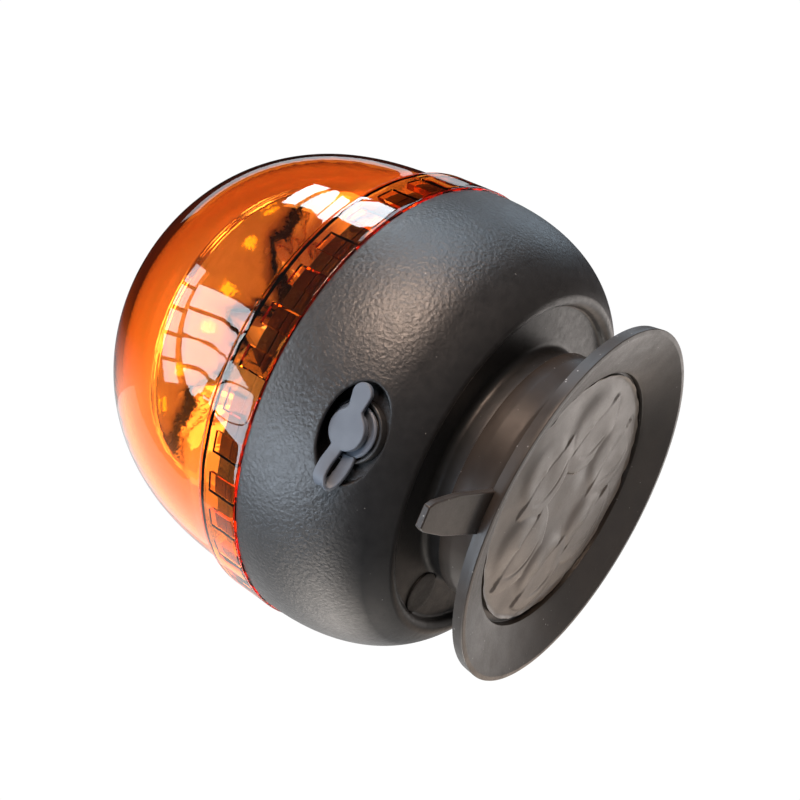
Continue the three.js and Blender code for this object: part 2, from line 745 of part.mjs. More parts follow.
add("control_board", controlBoard(), paint.greenBoard());
spacerSpots.forEach((spot, i) => {
  const spacer = add(`board_spacer_${i + 1}`, tube(1.5, 3, 0, 3.8, 6), paint.alloy());
  spacer.position.set(spot.x, spot.y, CONTROL_TOP + 0.1);
});
const driver = add("driver_chip", block([-5, -5, 0], [5, 5, 1.6]), paint.chip());
driver.position.set(-12, -10, CONTROL_TOP + 0.1);
const inductor = add("charge_inductor", rod(5, 0, 3.2, 20), paint.chip());
inductor.position.set(14, -12, CONTROL_TOP + 0.1);

add("chassis_plate", chassisPlate(), paint.alloy());
postSpots.forEach((spot, i) => {
  const fixing = add(`chassis_screw_${i + 1}`, screw(2.9, 1.8, 1.4, 9), paint.steel());
  fixing.position.set(spot.x, spot.y, PLATE_Z + PLATE_THICK + 0.1);
});
add("led_board", ledBoard(), paint.board());
for (let i = 0; i < LED_COUNT; i += 1) {
  const azimuth = ((i + 0.5) * 360) / LED_COUNT;
  const spot = around(LED_RING, azimuth);
  const lamp = add(`led_${i + 1}`, led(), paint.led());
  lamp.position.set(spot.x, spot.y, LED_BOARD_TOP + 0.1);
  lamp.rotation.z = rad(azimuth);
}
add("reflector", reflector(), paint.mirror());
reflectorSpots.forEach((spot, i) => {
  const fixing = add(`reflector_screw_${i + 1}`, screw(2.6, 1.6, 1.3, 4.6), paint.steel());
  fixing.position.set(spot.x, spot.y, REFLECTOR.footZ + 1.2);
});

add("charge_socket", chargeSocket(), paint.housing(), portFrame);
add("socket_nut", socketNut(), paint.steel(), portFrame);
add("socket_pin", portBar(1, SOCKET.boreEnd + 0.1, SOCKET.pinEnd, 12), paint.steel(), portFrame);
add("cap_tether", capTether(), paint.capRubber(), portFrame);
add("charge_cap", chargeCap(), paint.capRubber(), portFrame);
const socketRear = SOCKET.rear - 0.3;
const socketRoute = [
  [PORT.x, -socketRear, PORT.z],
  [PORT.x, -(socketRear - 1), PORT.z + 0.1],
  [PORT.x, -(socketRear - 2), PORT.z + 2.2],
  [PORT.x, -(socketRear - 1.8), 42],
  [PORT.x, -(socketRear - 1.8), CONTROL.z - 0.3],
];
add("socket_lead", lead(socketRoute, 1.1), paint.wire(), portFrame);

add("power_button", place(powerButton(), button), paint.rubber());
const spring = tube(SPRING.inner, SPRING.outer, SPRING.low, SPRING.high);
add("button_spring", place(spring, button), paint.steel());
const switchSpot = { ...button, turn: BUTTON_AZIMUTH + 90 };
const switchBody = block([-6, -6, SPRING.high + 0.1], [6, 6, BRACKET.low - 0.2]);
add("switch_body", place(switchBody, switchSpot), paint.chip());
add("switch_bracket", place(switchBracket(), switchSpot), paint.tray());

const ledRoute = [
  [LEAD_HOLE.x, LEAD_HOLE.y, CONTROL_TOP + 0.2],
  [LEAD_HOLE.x + 0.5, LEAD_HOLE.y, 57],
  [LEAD_HOLE.x, LEAD_HOLE.y, LED_BOARD.z - 0.1],
];
add("led_lead", lead(ledRoute, 1.1), paint.wire());

export default beacon;
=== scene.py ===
# Cordless amber LED warning beacon on a magnetic suction foot: the looks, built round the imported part.
# Lengths are in millimetres in this file, in the part's own frame (+Z up through the dome, the charge
# port on the -Y side), and they become metres when a mesh is made.

import json
from math import atan2, ceil, cos, degrees, dist, exp, hypot, pi, radians, sin, tan, tanh

import bmesh
import bpy
import numpy as np
from mathutils import Matrix, Vector, noise


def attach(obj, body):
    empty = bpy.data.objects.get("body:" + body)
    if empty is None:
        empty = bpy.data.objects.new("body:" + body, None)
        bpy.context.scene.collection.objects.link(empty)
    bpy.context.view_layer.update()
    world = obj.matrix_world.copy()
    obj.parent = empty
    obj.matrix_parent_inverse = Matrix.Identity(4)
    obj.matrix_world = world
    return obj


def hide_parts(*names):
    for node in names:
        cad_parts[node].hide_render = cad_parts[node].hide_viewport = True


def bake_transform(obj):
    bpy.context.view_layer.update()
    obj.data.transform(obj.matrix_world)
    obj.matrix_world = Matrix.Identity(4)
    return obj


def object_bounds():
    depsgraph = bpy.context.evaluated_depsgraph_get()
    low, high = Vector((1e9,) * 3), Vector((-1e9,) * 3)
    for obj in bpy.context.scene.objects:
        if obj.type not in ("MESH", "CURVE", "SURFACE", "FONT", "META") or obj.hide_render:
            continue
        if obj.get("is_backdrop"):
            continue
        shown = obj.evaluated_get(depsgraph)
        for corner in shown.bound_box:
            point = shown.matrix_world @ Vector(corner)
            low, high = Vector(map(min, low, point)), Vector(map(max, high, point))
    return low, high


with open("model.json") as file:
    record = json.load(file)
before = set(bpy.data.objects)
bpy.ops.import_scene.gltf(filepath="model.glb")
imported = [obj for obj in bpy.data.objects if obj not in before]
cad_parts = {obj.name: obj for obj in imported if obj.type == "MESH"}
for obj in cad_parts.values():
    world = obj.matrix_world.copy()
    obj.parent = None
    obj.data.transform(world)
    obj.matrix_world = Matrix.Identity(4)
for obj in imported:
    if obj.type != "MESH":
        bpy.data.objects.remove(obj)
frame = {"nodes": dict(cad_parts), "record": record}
cad_low, cad_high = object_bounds()

MM = 0.001
TURN = 360.0

# ---- The part's driving dimensions ----

JOINT_RADIUS = 65.0  # outer radius where the lens meets the housing
JOINT_Z = 57.2
TOTAL_HEIGHT = 144.75
FOOT_RADIUS = 49.5
NECK_RADIUS = 35.0
NECK_TOP_Z = 18.0
MEMBRANE_RADIUS = 34.7
MEMBRANE_Z = 5.1
MAGNET_COUNT = 6
MAGNET_RADIUS = 9.0
MAGNET_RING = 20.5
MAGNET_PHASE = 8.5
WALL = 2.5
LENS_WALL = 2.3
RIB_COUNT = 36
LED_COUNT = 10
PORT_AZIMUTH = -9.7
BUTTON_AZIMUTH = -78.0
TAB_AZIMUTH = -12.5
HALF_GAP = 0.02  # half of the joint's hairline between lens and housing


# ---- Mesh helpers ----


def around(radius, azimuth):
    """The point at a radius and an azimuth counted from -Y towards +X."""
    angle = radians(azimuth)
    return radius * sin(angle), -radius * cos(angle)


def off_heading(heading, aim):
    """How many degrees a heading is past another one, from -180 to 180."""
    return (heading - aim + TURN / 2) % TURN - TURN / 2


def rounded(points, closed=False, steps=4):
    """A polyline of (a, b, fillet radius) points with its corners rounded."""
    out = []
    for i, point in enumerate(points):
        corner = Vector(point[:2])
        radius = point[2] if len(point) > 2 else 0.0
        if not radius or (not closed and i in (0, len(points) - 1)):
            out.append(tuple(corner))
            continue
        before = (Vector(points[i - 1][:2]) - corner).normalized()
        after = (Vector(points[(i + 1) % len(points)][:2]) - corner).normalized()
        half = before.angle(after) / 2
        centre = corner + (before + after).normalized() * (radius / sin(half))
        reach = radius / tan(half)
        start, end = corner + before * reach - centre, corner + after * reach - centre
        out += [tuple(centre + start.slerp(end, k / steps) * radius) for k in range(steps + 1)]
    return out


def super_arc(core, half_width, base, height, power, first, last, steps):
    """Points of a quarter superellipse, from its side (0 degrees) towards its pole (90)."""
    out = []
    for i in range(steps + 1):
        angle = radians(first + (last - first) * i / steps)
        side = max(cos(angle), 0.0) ** (2 / power)
        out.append((core + half_width * side, base + height * max(sin(angle), 0.0) ** (2 / power)))
    return out


def finer(points, step):
    """The polyline with no segment longer than a step."""
    out = [points[0]]
    for a, b in zip(points, points[1:]):
        count = max(1, ceil(dist(a, b) / step))
        out += [tuple(np.add(a, np.subtract(b, a) * k / count)) for k in range(1, count + 1)]
    return out


def linked(name, data):
    """A new object in the scene that shows the mesh, light or camera."""
    made = bpy.data.objects.new(name, data)
    bpy.context.scene.collection.objects.link(made)
    return made


def build(name, vertices, faces, material, sharp=32.0, outward=True):
    """A smooth-shaded object from millimetre vertices, with coincident points merged."""
    work = bmesh.new()
    made = [work.verts.new(Vector(v) * MM) for v in vertices]
    for face in faces:
        if len(set(face)) > 2:
            work.faces.new([made[i] for i in dict.fromkeys(face)])
    bmesh.ops.remove_doubles(work, verts=work.verts, dist=2e-6)
    loose = [v for v in work.verts if not v.link_faces]
    bmesh.ops.delete(work, geom=loose, context="VERTS")
    if outward:
        bmesh.ops.recalc_face_normals(work, faces=work.faces)
    mesh = bpy.data.meshes.new(name)
    work.to_mesh(mesh)
    work.free()
    mesh.polygons.foreach_set("use_smooth", [True] * len(mesh.polygons))
    mesh.set_sharp_from_angle(angle=radians(sharp))
    mesh.materials.append(material)
    return linked(name, mesh)


def grid_faces(rows, columns, close_rows=False, skip=()):
    """Quads of a grid of points stored row by row, each row a ring. skip holds the cells left open."""
    faces = []
    for i in range(rows if close_rows else rows - 1):
        here, below = i * columns, (i + 1) % rows * columns
        for j in range(columns):
            if (i, j) not in skip:
                after = (j + 1) % columns
                faces.append([here + j, here + after, below + after, below + j])
    return faces


def lathe(profile, steps, place=tuple):
    """(vertices, faces) of a closed profile of (radius, height) turned about Z, each point then placed."""
    vertices = []
    for radius, height in profile:
        for k in range(steps):
            vertices.append(place((*around(max(radius, 0.0), TURN * k / steps), height)))
    return vertices, grid_faces(len(profile), steps, close_rows=True)


def joined(parts):
    """Several (vertices, faces) as one."""
    vertices, faces = [], []
    for more_vertices, more_faces in parts:
        faces += [[i + len(vertices) for i in face] for face in more_faces]
        vertices += list(more_vertices)
    return vertices, faces


def prism(outline, low, high):
    """(vertices, faces) of an outline of (x, y) between two heights."""
    count = len(outline)
    vertices = [(x, y, low) for x, y in outline] + [(x, y, high) for x, y in outline]
    sides = [[k, (k + 1) % count, count + (k + 1) % count, count + k] for k in range(count)]
    return vertices, [list(range(count))[::-1], list(range(count, 2 * count)), *sides]


def bevelled(made, width):
    """Rounds the sharp edges of an object by that many millimetres."""
    change = made.modifiers.new("edges", "BEVEL")
    change.width, change.segments = width * MM, 3
    change.limit_method, change.angle_limit = "ANGLE", radians(35.0)
    change.harden_normals = False
    return made


def piece(name, shape, node, slot, body="housing", sharp=32.0, finish=None):
    """A piece that moves with a body, stands for a CAD node and takes its finish from a slot."""
    made = build(name, *shape, FINISHES[finish or slot], sharp)
    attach(made, body)
    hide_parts(node)
    return made


# ---- Material helpers ----

DUST = (0.33, 0.32, 0.31)
SPECK_RADIUS = (0.23, 0.12)  # of a speck of dust: where it starts, and where it is solid
MIX_INPUTS, MIX_OUTPUT = (0, 6, 7), 2  # the mix node's factor, A, B and result for colours


class Nodes:
    """The node tree of a new material or world, with short ways to add and join nodes."""

    def __init__(self, name, kind="materials", shader="Principled BSDF"):
        self.owner = getattr(bpy.data, kind).new(name)
        self.owner.use_nodes = True
        self.tree = self.owner.node_tree
        self.shader = self.tree.nodes[shader]
        self.coordinates = self.add("ShaderNodeTexCoord").outputs["Object"]

    def add(self, kind, inputs=None, **settings):
        made = self.tree.nodes.new(kind)
        for key, value in settings.items():
            setattr(made, key, value)
        for key, value in (inputs or {}).items():
            if isinstance(value, bpy.types.NodeSocket):
                self.tree.links.new(value, made.inputs[key])
            else:
                made.inputs[key].default_value = value
        return made

    def noise(self, size, detail=2.0, roughness=0.5, distortion=0.0, vector=None):
        """Soft random values with features of about that many millimetres."""
        inputs = {"Vector": vector or self.coordinates, "Scale": 1 / (size * MM), "Detail": detail}
        inputs |= {"Roughness": roughness, "Distortion": distortion}
        return self.add("ShaderNodeTexNoise", inputs).outputs["Fac"]

    def cells(self, size, **smooth):
        """Distance to the nearest of random points about that many millimetres apart."""
        inputs = {"Vector": self.coordinates, "Scale": 1 / (size * MM), **smooth}
        feature = "SMOOTH_F1" if smooth else "F1"
        return self.add("ShaderNodeTexVoronoi", inputs, feature=feature).outputs["Distance"]

    def spread(self, value, low, high, to_low=0.0, to_high=1.0):
        """The value's span from low to high, stretched to another span and clamped."""
        inputs = {"Value": value, "From Min": low, "From Max": high, "To Min": to_low, "To Max": to_high}
        return self.add("ShaderNodeMapRange", inputs).outputs["Result"]

    def spread_mm(self, value, low, high, *to):
        """The same for a value in metres and a span in millimetres."""
        return self.spread(value, low * MM, high * MM, *to)

    def math(self, operation, a, b=0.0):
        return self.add("ShaderNodeMath", {0: a, 1: b}, operation=operation).outputs["Value"]

    def times(self, a, b):
        return self.math("MULTIPLY", a, b)

    def mix(self, amount, a, b):
        """Colour a, giving way to colour b as the amount goes from 0 to 1."""
        made = self.add("ShaderNodeMix", data_type="RGBA")
        for socket, value in zip([made.inputs[i] for i in MIX_INPUTS], (amount, a, b)):
            if isinstance(value, bpy.types.NodeSocket):
                self.tree.links.new(value, socket)
            else:
                socket.default_value = value if isinstance(value, float) else (*value, 1.0)
        return made.outputs[MIX_OUTPUT]

    def dusty(self, colour, amount, spacing=2.3):
        """The colour with small pale dust specks gathered in patches."""
        speck = self.spread(self.cells(spacing), *(r / spacing for r in SPECK_RADIUS))
        patch = self.spread(self.noise(7.0), 0.46, 0.6)
        share = self.times(self.times(speck, patch), amount)
        return self.mix(share, colour, DUST)

    def height(self, *pairs):
        """A bump from (value, depth in millimetres) pairs."""
        total = None
        for value, depth in pairs:
            scaled = self.times(value, depth * MM)
            total = scaled if total is None else self.math("ADD", total, scaled)
        made = self.add("ShaderNodeBump", {"Height": total, "Distance": 1.0, "Strength": 1.0})
        self.into("Normal", made.outputs["Normal"])

    def place(self):
        """The X, Y and Z of the point, in metres."""
        return self.add("ShaderNodeSeparateXYZ", {"Vector": self.coordinates}).outputs

    def squeezed(self, scale):
        """Coordinates scaled along Z: features come out thin above 1 and drawn out below it."""
        inputs = {"Vector": self.coordinates, "Scale": (1.0, 1.0, scale)}
        return self.add("ShaderNodeMapping", inputs).outputs["Vector"]

    def into(self, socket, value):
        self.tree.links.new(value, self.shader.inputs[socket])

    def set(self, **values):
        for key, value in values.items():
            self.shader.inputs[key.replace("_", " ")].default_value = value


def worn(name, dark, light, rough, size=12.0, grain=0.6, depth=0.01, specks=0.0, gloss=None, **settings):
    """A moulded or machined surface: cloudy colour, uneven gloss and a fine bump. gloss holds two heights
    and the specular level below the one and above the other."""
    n = Nodes(name)
    cloud = n.noise(size, 3.0)
    colour = n.mix(n.spread(cloud, 0.35, 0.68), dark, light)
    n.into("Base Color", n.dusty(colour, specks) if specks else colour)
    fine = n.noise(grain, 3.0, 0.55)
    uneven = n.math("ADD", fine, n.noise(size * 0.4))
    n.into("Roughness", n.spread(uneven, 0.7, 1.3, rough - 0.06, rough + 0.07))
    n.height((fine, depth))
    if gloss:
        n.into("Specular IOR Level", n.spread_mm(n.place()["Z"], *gloss))
    n.set(**settings)
    return n.owner


def metal(name, colour, rough, brush=1.5, depth=0.004):
    """Metal with fine brush lines round its axis and a little unevenness."""
    n = Nodes(name)
    lines = n.noise(brush, 4.0, 0.6, vector=n.squeezed(9.0))
    n.into("Base Color", n.mix(n.spread(n.noise(4.0), 0.35, 0.65), [c * 0.82 for c in colour], colour))
    n.into("Roughness", n.spread(lines, 0.35, 0.65, rough * 0.75, rough * 1.3))
    n.height((lines, depth))
    n.set(Metallic=1.0)
    return n.owner


# The bowl round the charge port is taken as a cone that turns upright above it.
CONE_Z, CONE_RISE, CONE_RADIUS, CONE_SLOPE = 28.5, 12.5, 57.2, 0.5
MOUTH_DEPTH = (0.7, 2.5)  # under the bowl: where the mouth's lip ends, and where its inside begins
MOUTH_BOTTOM = (26.2, 27.5)  # the heights that the mouth ends between
# painted shade: the near black that the inside of the charge port's mouth is painted, for its shadow
MOUTH_PAINTED_SHADE = (0.006, 0.006, 0.007)


def mouth_shade_mask(n, place):
    """Painted shade mask: 1 down in the charge port's mouth, which is painted near black for its shadow, 0
    on the bowl round it.
    """
    x, y, z = (place[axis] for axis in "XYZ")
    out = n.math("SQRT", n.math("ADD", n.math("POWER", x, 2.0), n.math("POWER", y, 2.0)))
    level = n.math("MINIMUM", n.math("SUBTRACT", z, CONE_Z * MM), CONE_RISE * MM)
    bowl = n.math("ADD", n.times(level, CONE_SLOPE), CONE_RADIUS * MM)
    depth = n.spread_mm(n.math("SUBTRACT", bowl, out), *MOUTH_DEPTH)
    return n.times(depth, n.spread_mm(z, *MOUTH_BOTTOM))


GRAIN_Z = (24.5, 32.5)  # the grain comes in between these heights
BOWL_GLOSS, MOUTH_SHADE_GLOSS = 0.55, 0.3  # specular levels of the bowl, and of the mouth against the bowl's, lowered there as painted shade
RECESS_X, RECESS_SHADE_GLOSS = (-30.0, 4.0), (0.06, 0.56)  # painted shade: the recess's specular level drops towards -X, the button's side, where the foot shades it


def housing_material():
    """Black plastic with a leathery spark-eroded grain that fades out in the smooth recess, with painted
    shade: the charge port's mouth painted near black, and the recess less glossy towards the button's side.
    """
    n = Nodes("housing_black")
    place = n.place()
    bowl = n.spread_mm(place["Z"], *GRAIN_Z)
    wander = n.noise(2.4, 2.0)
    pebble = n.cells(1.0, Smoothness=0.5)
    wrinkle = n.noise(0.75, 2.0, 0.45, 0.9)
    fine = n.noise(0.3, 2.0)
    grain = n.math("ADD", n.times(n.spread(pebble, 0.15, 0.75), 0.5), wrinkle)
    plain = n.mix(n.spread(wander, 0.3, 0.7), (0.0135, 0.0140, 0.0150), (0.0165, 0.0170, 0.0180))
    # painted shade: the charge port's mouth is painted near black and made less glossy
    mouth = mouth_shade_mask(n, place)
    n.into("Base Color", n.mix(mouth, n.dusty(plain, 0.5, spacing=3.4), MOUTH_PAINTED_SHADE))
    n.into("Roughness", n.spread(n.math("ADD", wrinkle, wander), 0.7, 1.3, 0.36, 0.48))
    # painted shade: the recess floor is made less glossy towards the button's side
    recess = n.spread_mm(place["X"], *RECESS_X, *RECESS_SHADE_GLOSS)
    recess = n.times(n.spread(bowl, 1.0, 0.0), recess)
    gloss = n.math("MAXIMUM", n.times(bowl, BOWL_GLOSS), recess)
    n.into("Specular IOR Level", n.times(gloss, n.spread(mouth, 0.0, 1.0, 1.0, MOUTH_SHADE_GLOSS)))
    n.height((n.times(grain, bowl), 0.115), (fine, 0.006))
    return n.owner


AMBER_TINTS = ((0.985, 0.79, 0.62), (0.985, 0.82, 0.66))  # of light that goes in, low and high in the flow
AMBER_DEPTH = (0.988, 0.775, 0.42, 1.0)  # 1 less what a millimetre absorbs, at this density
AMBER_DENSITY = 1000.0


def amber_material():
    """Clear amber plastic, polished, with faint flow marks. Its tint deepens with its thickness."""
    n = Nodes("amber_lens")
    flow = n.noise(26.0, 2.0)
    n.into("Base Color", n.mix(n.spread(flow, 0.3, 0.7), *AMBER_TINTS))
    n.into("Roughness", n.spread(n.noise(7.0), 0.3, 0.7, 0.0, 0.03))
    n.height((n.noise(14.0, 1.0), 0.02))
    n.set(Transmission_Weight=1.0, IOR=1.5)
    depth = n.add("ShaderNodeVolumeAbsorption", {"Color": AMBER_DEPTH, "Density": AMBER_DENSITY})
    n.tree.links.new(depth.outputs["Volume"], n.tree.nodes["Material Output"].inputs["Volume"])
    return n.owner


def mirror_material():
    """Vacuum-metallised plastic: a bright mirror over slightly uneven moulding."""
    n = Nodes("mirror_plastic")
    n.into("Base Color", n.mix(n.spread(n.noise(5.0), 0.3, 0.7), (0.86, 0.85, 0.82), (0.93, 0.92, 0.9)))
    n.into("Roughness", n.spread(n.noise(3.0), 0.3, 0.7, 0.03, 0.10))
    drawn = n.noise(1.3, 2.0, vector=n.squeezed(0.12))
    n.height((drawn, 0.03), (n.cells(4.0, Smoothness=0.8), 0.03))
    n.set(Metallic=1.0)
    return n.owner


FOOT_LOOK = {"specks": 0.7, "gloss": (5.5, 8.5, 0.30, 0.12)}  # glossier at the rim than up the neck
BUTTON_LOOK = {"size": 5.0, "depth": 0.008, "Specular_IOR_Level": 0.15}
CAP_LOOK = {"size": 6.0, "grain": 0.35, "depth": 0.008}
FILM_LOOK = {"size": 14.0, "specks": 0.5, "depth": 0.006}
LED_LOOK_AND_PAINTED_GLOW = {"size": 2.0, "grain": 0.4, "depth": 0.004}
LED_LOOK_AND_PAINTED_GLOW |= {"Emission_Color": (1.0, 0.62, 0.05, 1.0), "Emission_Strength": 1.8}  # painted glow: the LED phosphor glows though the lamp is off, for its yellow glints

FINISHES = {
    "housing_black": housing_material(),
    "amber_lens": amber_material(),
    "mirror_plastic": mirror_material(),
    "steel": metal("steel", (0.62, 0.62, 0.64), 0.3),
    "alloy": metal("alloy", (0.72, 0.73, 0.74), 0.4),
}
# Each worn finish: its dark and light colour, its roughness and what else sets it apart.
WORN = {
    "foot_rubber": ((0.020, 0.0165, 0.0145), (0.032, 0.0262, 0.0222), 0.38, FOOT_LOOK),
    "button_rubber": ((0.009, 0.009, 0.0095), (0.014, 0.0135, 0.0135), 0.6, BUTTON_LOOK),
    "cap_rubber": ((0.058, 0.070, 0.091), (0.071, 0.086, 0.109), 0.55, CAP_LOOK),
    "membrane_film": ((0.102, 0.084, 0.069), (0.134, 0.112, 0.094), 0.36, FILM_LOOK),
    "tray_black": ((0.02, 0.02, 0.022), (0.035, 0.035, 0.037), 0.5, {}),
    "cell_sleeve": ((0.03, 0.14, 0.36), (0.045, 0.18, 0.42), 0.3, {"depth": 0.004}),
    "board_green": ((0.01, 0.10, 0.03), (0.02, 0.16, 0.055), 0.42, {"size": 5.0}),
    "board_white": ((0.70, 0.70, 0.68), (0.80, 0.80, 0.77), 0.4, {"size": 5.0, "depth": 0.008}),
    "chip_black": ((0.012, 0.012, 0.013), (0.022, 0.022, 0.024), 0.42, {"size": 3.0}),
    "led_yellow": ((0.85, 0.52, 0.03), (0.95, 0.66, 0.08), 0.18, LED_LOOK_AND_PAINTED_GLOW),
    "wire_red": ((0.33, 0.012, 0.012), (0.42, 0.02, 0.02), 0.4, {"size": 3.0, "depth": 0.006}),
}
for slot_name, (dark, light, rough, look) in WORN.items():
    FINISHES[slot_name] = worn(slot_name, dark, light, rough, **look)


def dress_frame():
    """Gives every carried-over CAD node the finish of its slot in the record."""
    for entry in frame["record"]["subparts"]:
        node = frame["nodes"][entry["node"]]
        node.data.materials.clear()
        node.data.materials.append(FINISHES[entry["material_slot"]])


# ---- Housing ----

BOWL = {"core": 39.9, "half_width": 25.1, "base": JOINT_Z, "height": -38.1, "power": 2.137}
RECESS_RADIUS = 46.2
RECESS_Z = 23.9
HUB_RADIUS = 33.6
HUB_Z = NECK_TOP_Z + 0.3
SPIGOT_RADIUS = 61.9
SPIGOT_BORE = 59.4
SPIGOT_TOP = 66.5
GROOVE_LOW, GROOVE_TOP, GROOVE_DEPTH = 60.2, 62.6, 1.4  # the gasket's groove in the spigot
BOLT_HOLE = 4.4
SHOULDER_Z = JOINT_Z - HALF_GAP
RIDGE_CENTRE, RIDGE_RADIUS = (48.31, 23.66), 2.5


def arc(centre, radius, first, last, count):
    """Points along an arc, its angles counted from the first axis."""
    angles = np.radians(np.linspace(first, last, count))
    return [(centre[0] + radius * cos(a), centre[1] + radius * sin(a)) for a in angles]


def ridge_arc():
    """The soft roll-over between the bowl and the ring recess."""
    return arc(RIDGE_CENTRE, RIDGE_RADIUS, -61, -158, 18)


def housing_outside():
    """The outside from the joint down to the hub's underside."""
    edge = rounded([(SPIGOT_RADIUS, SHOULDER_Z), (64.97, SHOULDER_Z, 0.4), (65.0, 55.9)])
    bowl = super_arc(**BOWL, first=2, last=68.5, steps=66)
    recess = [ridge_arc()[-1], (RECESS_RADIUS - 0.7, RECESS_Z, 0.9), (HUB_RADIUS, RECESS_Z, 2.0)]
    recess = rounded([*recess, (HUB_RADIUS, HUB_Z, 0.4), (BOLT_HOLE, HUB_Z)], steps=6)
    return edge, bowl + ridge_arc(), recess


def housing_profile():
    """The outside and the inside of the bowl, as two lines of (radius, height)."""
    edge, bowl, recess = housing_outside()
    thin = dict(BOWL, half_width=BOWL["half_width"] - WALL, height=BOWL["height"] + WALL)
    inside = super_arc(**thin, first=58.9, last=4, steps=12)
    spigot = rounded(
        [
            (HUB_RADIUS - WALL, HUB_Z + WALL), (HUB_RADIUS - WALL, RECESS_Z + WALL), *inside,
            (SPIGOT_BORE, JOINT_Z), (SPIGOT_BORE, SPIGOT_TOP, 0.4),
            (SPIGOT_RADIUS, SPIGOT_TOP, 0.5), (SPIGOT_RADIUS, GROOVE_TOP, 0.1),
            (SPIGOT_RADIUS - GROOVE_DEPTH, GROOVE_TOP, 0.1),
            (SPIGOT_RADIUS - GROOVE_DEPTH, GROOVE_LOW, 0.1), (SPIGOT_RADIUS, GROOVE_LOW, 0.1),
            (SPIGOT_RADIUS, SHOULDER_Z),
        ]
    )
    outside = finer(edge[:-1] + bowl + recess[1:-1], 1.05)
    return outside, [(BOLT_HOLE, HUB_Z), (BOLT_HOLE, HUB_Z + WALL), *spigot[:-1]]


class Surface:
    """The housing's outside, addressed by azimuth and by length along its profile."""

    def __init__(self, profile):
        self.profile = np.array(profile, float)
        steps = np.hypot(*np.diff(self.profile, axis=0).T)
        self.length = np.concatenate([[0.0], np.cumsum(steps)])
        radii, heights = self.profile.T
        self.bowl_rows = int(np.argmin(np.where(radii > RECESS_RADIUS + 0.4, heights, np.inf))) + 1
        flat = (radii > HUB_RADIUS + 0.05) & (radii <= RECESS_RADIUS + 0.6)
        flat = [i for i in np.flatnonzero(flat) if i >= self.bowl_rows]
        self.recess_rows = slice(flat[0], flat[-1] + 1)

    def on_bowl(self, z):
        """The length at a height on the bowl."""
        rows = slice(0, self.bowl_rows)
        return np.interp(-z, -self.profile[rows, 1], self.length[rows])

    def in_recess(self, radius):
        """The length at a radius in the ring recess."""
        rows = self.recess_rows
        return np.interp(-radius, -self.profile[rows, 0], self.length[rows])

    def radius(self, s):
        return np.interp(s, self.length, self.profile[:, 0])

    def height(self, s):
        return np.interp(s, self.length, self.profile[:, 1])

    def point(self, azimuth, s):
        return (*around(self.radius(s), azimuth), self.height(s))


def hole_patch(surface, columns, rows, centre, hole, rings=9):
    """Rings of points from a hole's edge out to the rectangle of grid cells left out round it, and the
    edge's angles. columns are azimuths, and hole(angle) gives the edge as (azimuth, length)."""
    s = [surface.length[r] for r in rows]
    border = [(a, s[0]) for a in columns] + [(columns[-1], v) for v in s[1:]]
    border += [(a, s[-1]) for a in columns[-2::-1]] + [(columns[0], v) for v in s[-2:0:-1]]
    scale = radians(1.0) * surface.radius(centre[1])
    wide, tall = hole(0.0), hole(90.0)
    half_width, half_height = (wide[0] - centre[0]) * scale, centre[1] - tall[1]
    angles = []
    for azimuth, length in border:
        across, up = (azimuth - centre[0]) * scale / half_width, (centre[1] - length) / half_height
        angles.append(degrees(atan2(up, across)))
    edge = [hole(angle) for angle in angles]
    vertices = []
    for k in range(rings + 1):
        share = (k / rings) ** 1.25
        for inner, outer in zip(edge, border):
            azimuth = inner[0] + (outer[0] - inner[0]) * share
            vertices.append(surface.point(azimuth, inner[1] + (outer[1] - inner[1]) * share))
    return (vertices, grid_faces(rings + 1, len(border))), angles


def to_port(x, out, z):
    """A point in the port's own frame: out is its distance from the axis along the port."""
    angle = radians(PORT_AZIMUTH)
    return (x * cos(angle) + out * sin(angle), x * sin(angle) - out * cos(angle), z)


PORT_X, PORT_Z, PORT_FLOOR = 0.4, 34.9, 56.3
PORT_TILT = radians(30.0)  # the mouth is cut in at this slope
PORT_HALF_WIDTH, PORT_HALF_HEIGHT, PORT_OFFSET = 12.0, 7.4, 58.9
PORT_EDGE = 0.9  # rounding of the mouth's edge


def mouth_point(surface, angle):
    """Where the mouth's wall meets the bowl, as (x, out, z)."""
    x, across = PORT_HALF_WIDTH * cos(radians(angle)), PORT_OFFSET + PORT_HALF_HEIGHT * sin(radians(angle))
    near, far = 15.0, 60.0
    for _ in range(40):
        t = (near + far) / 2
        out = across * sin(PORT_TILT) + t * cos(PORT_TILT)
        z = across * cos(PORT_TILT) - t * sin(PORT_TILT)
        near, far = (t, far) if hypot(x, out) < surface.radius(surface.on_bowl(z)) else (near, t)
    return x, out, z


def mouth_edge(surface, angle, grow=0.0):
    """The mouth's edge on the bowl as (azimuth, length), moved outwards by grow."""

    def flat(a):
        x, out, z = mouth_point(surface, a)
        return degrees(atan2(x, out)), surface.on_bowl(z)

    azimuth, s = flat(angle)
    if grow:
        before, after = flat(angle - 2), flat(angle + 2)
        scale = radians(1.0) * surface.radius(s)
        along = Vector(((after[0] - before[0]) * scale, after[1] - before[1])).normalized()
        azimuth += -along[1] * grow / scale
        s += along[0] * grow
    return azimuth + PORT_AZIMUTH, s


PORT_HOLE = 5.0  # radius of the floor's edge under the socket's flange
FLOOR_RINGS = (0.62, 0.3, 0.0)  # shares of the way from that edge out to the wall


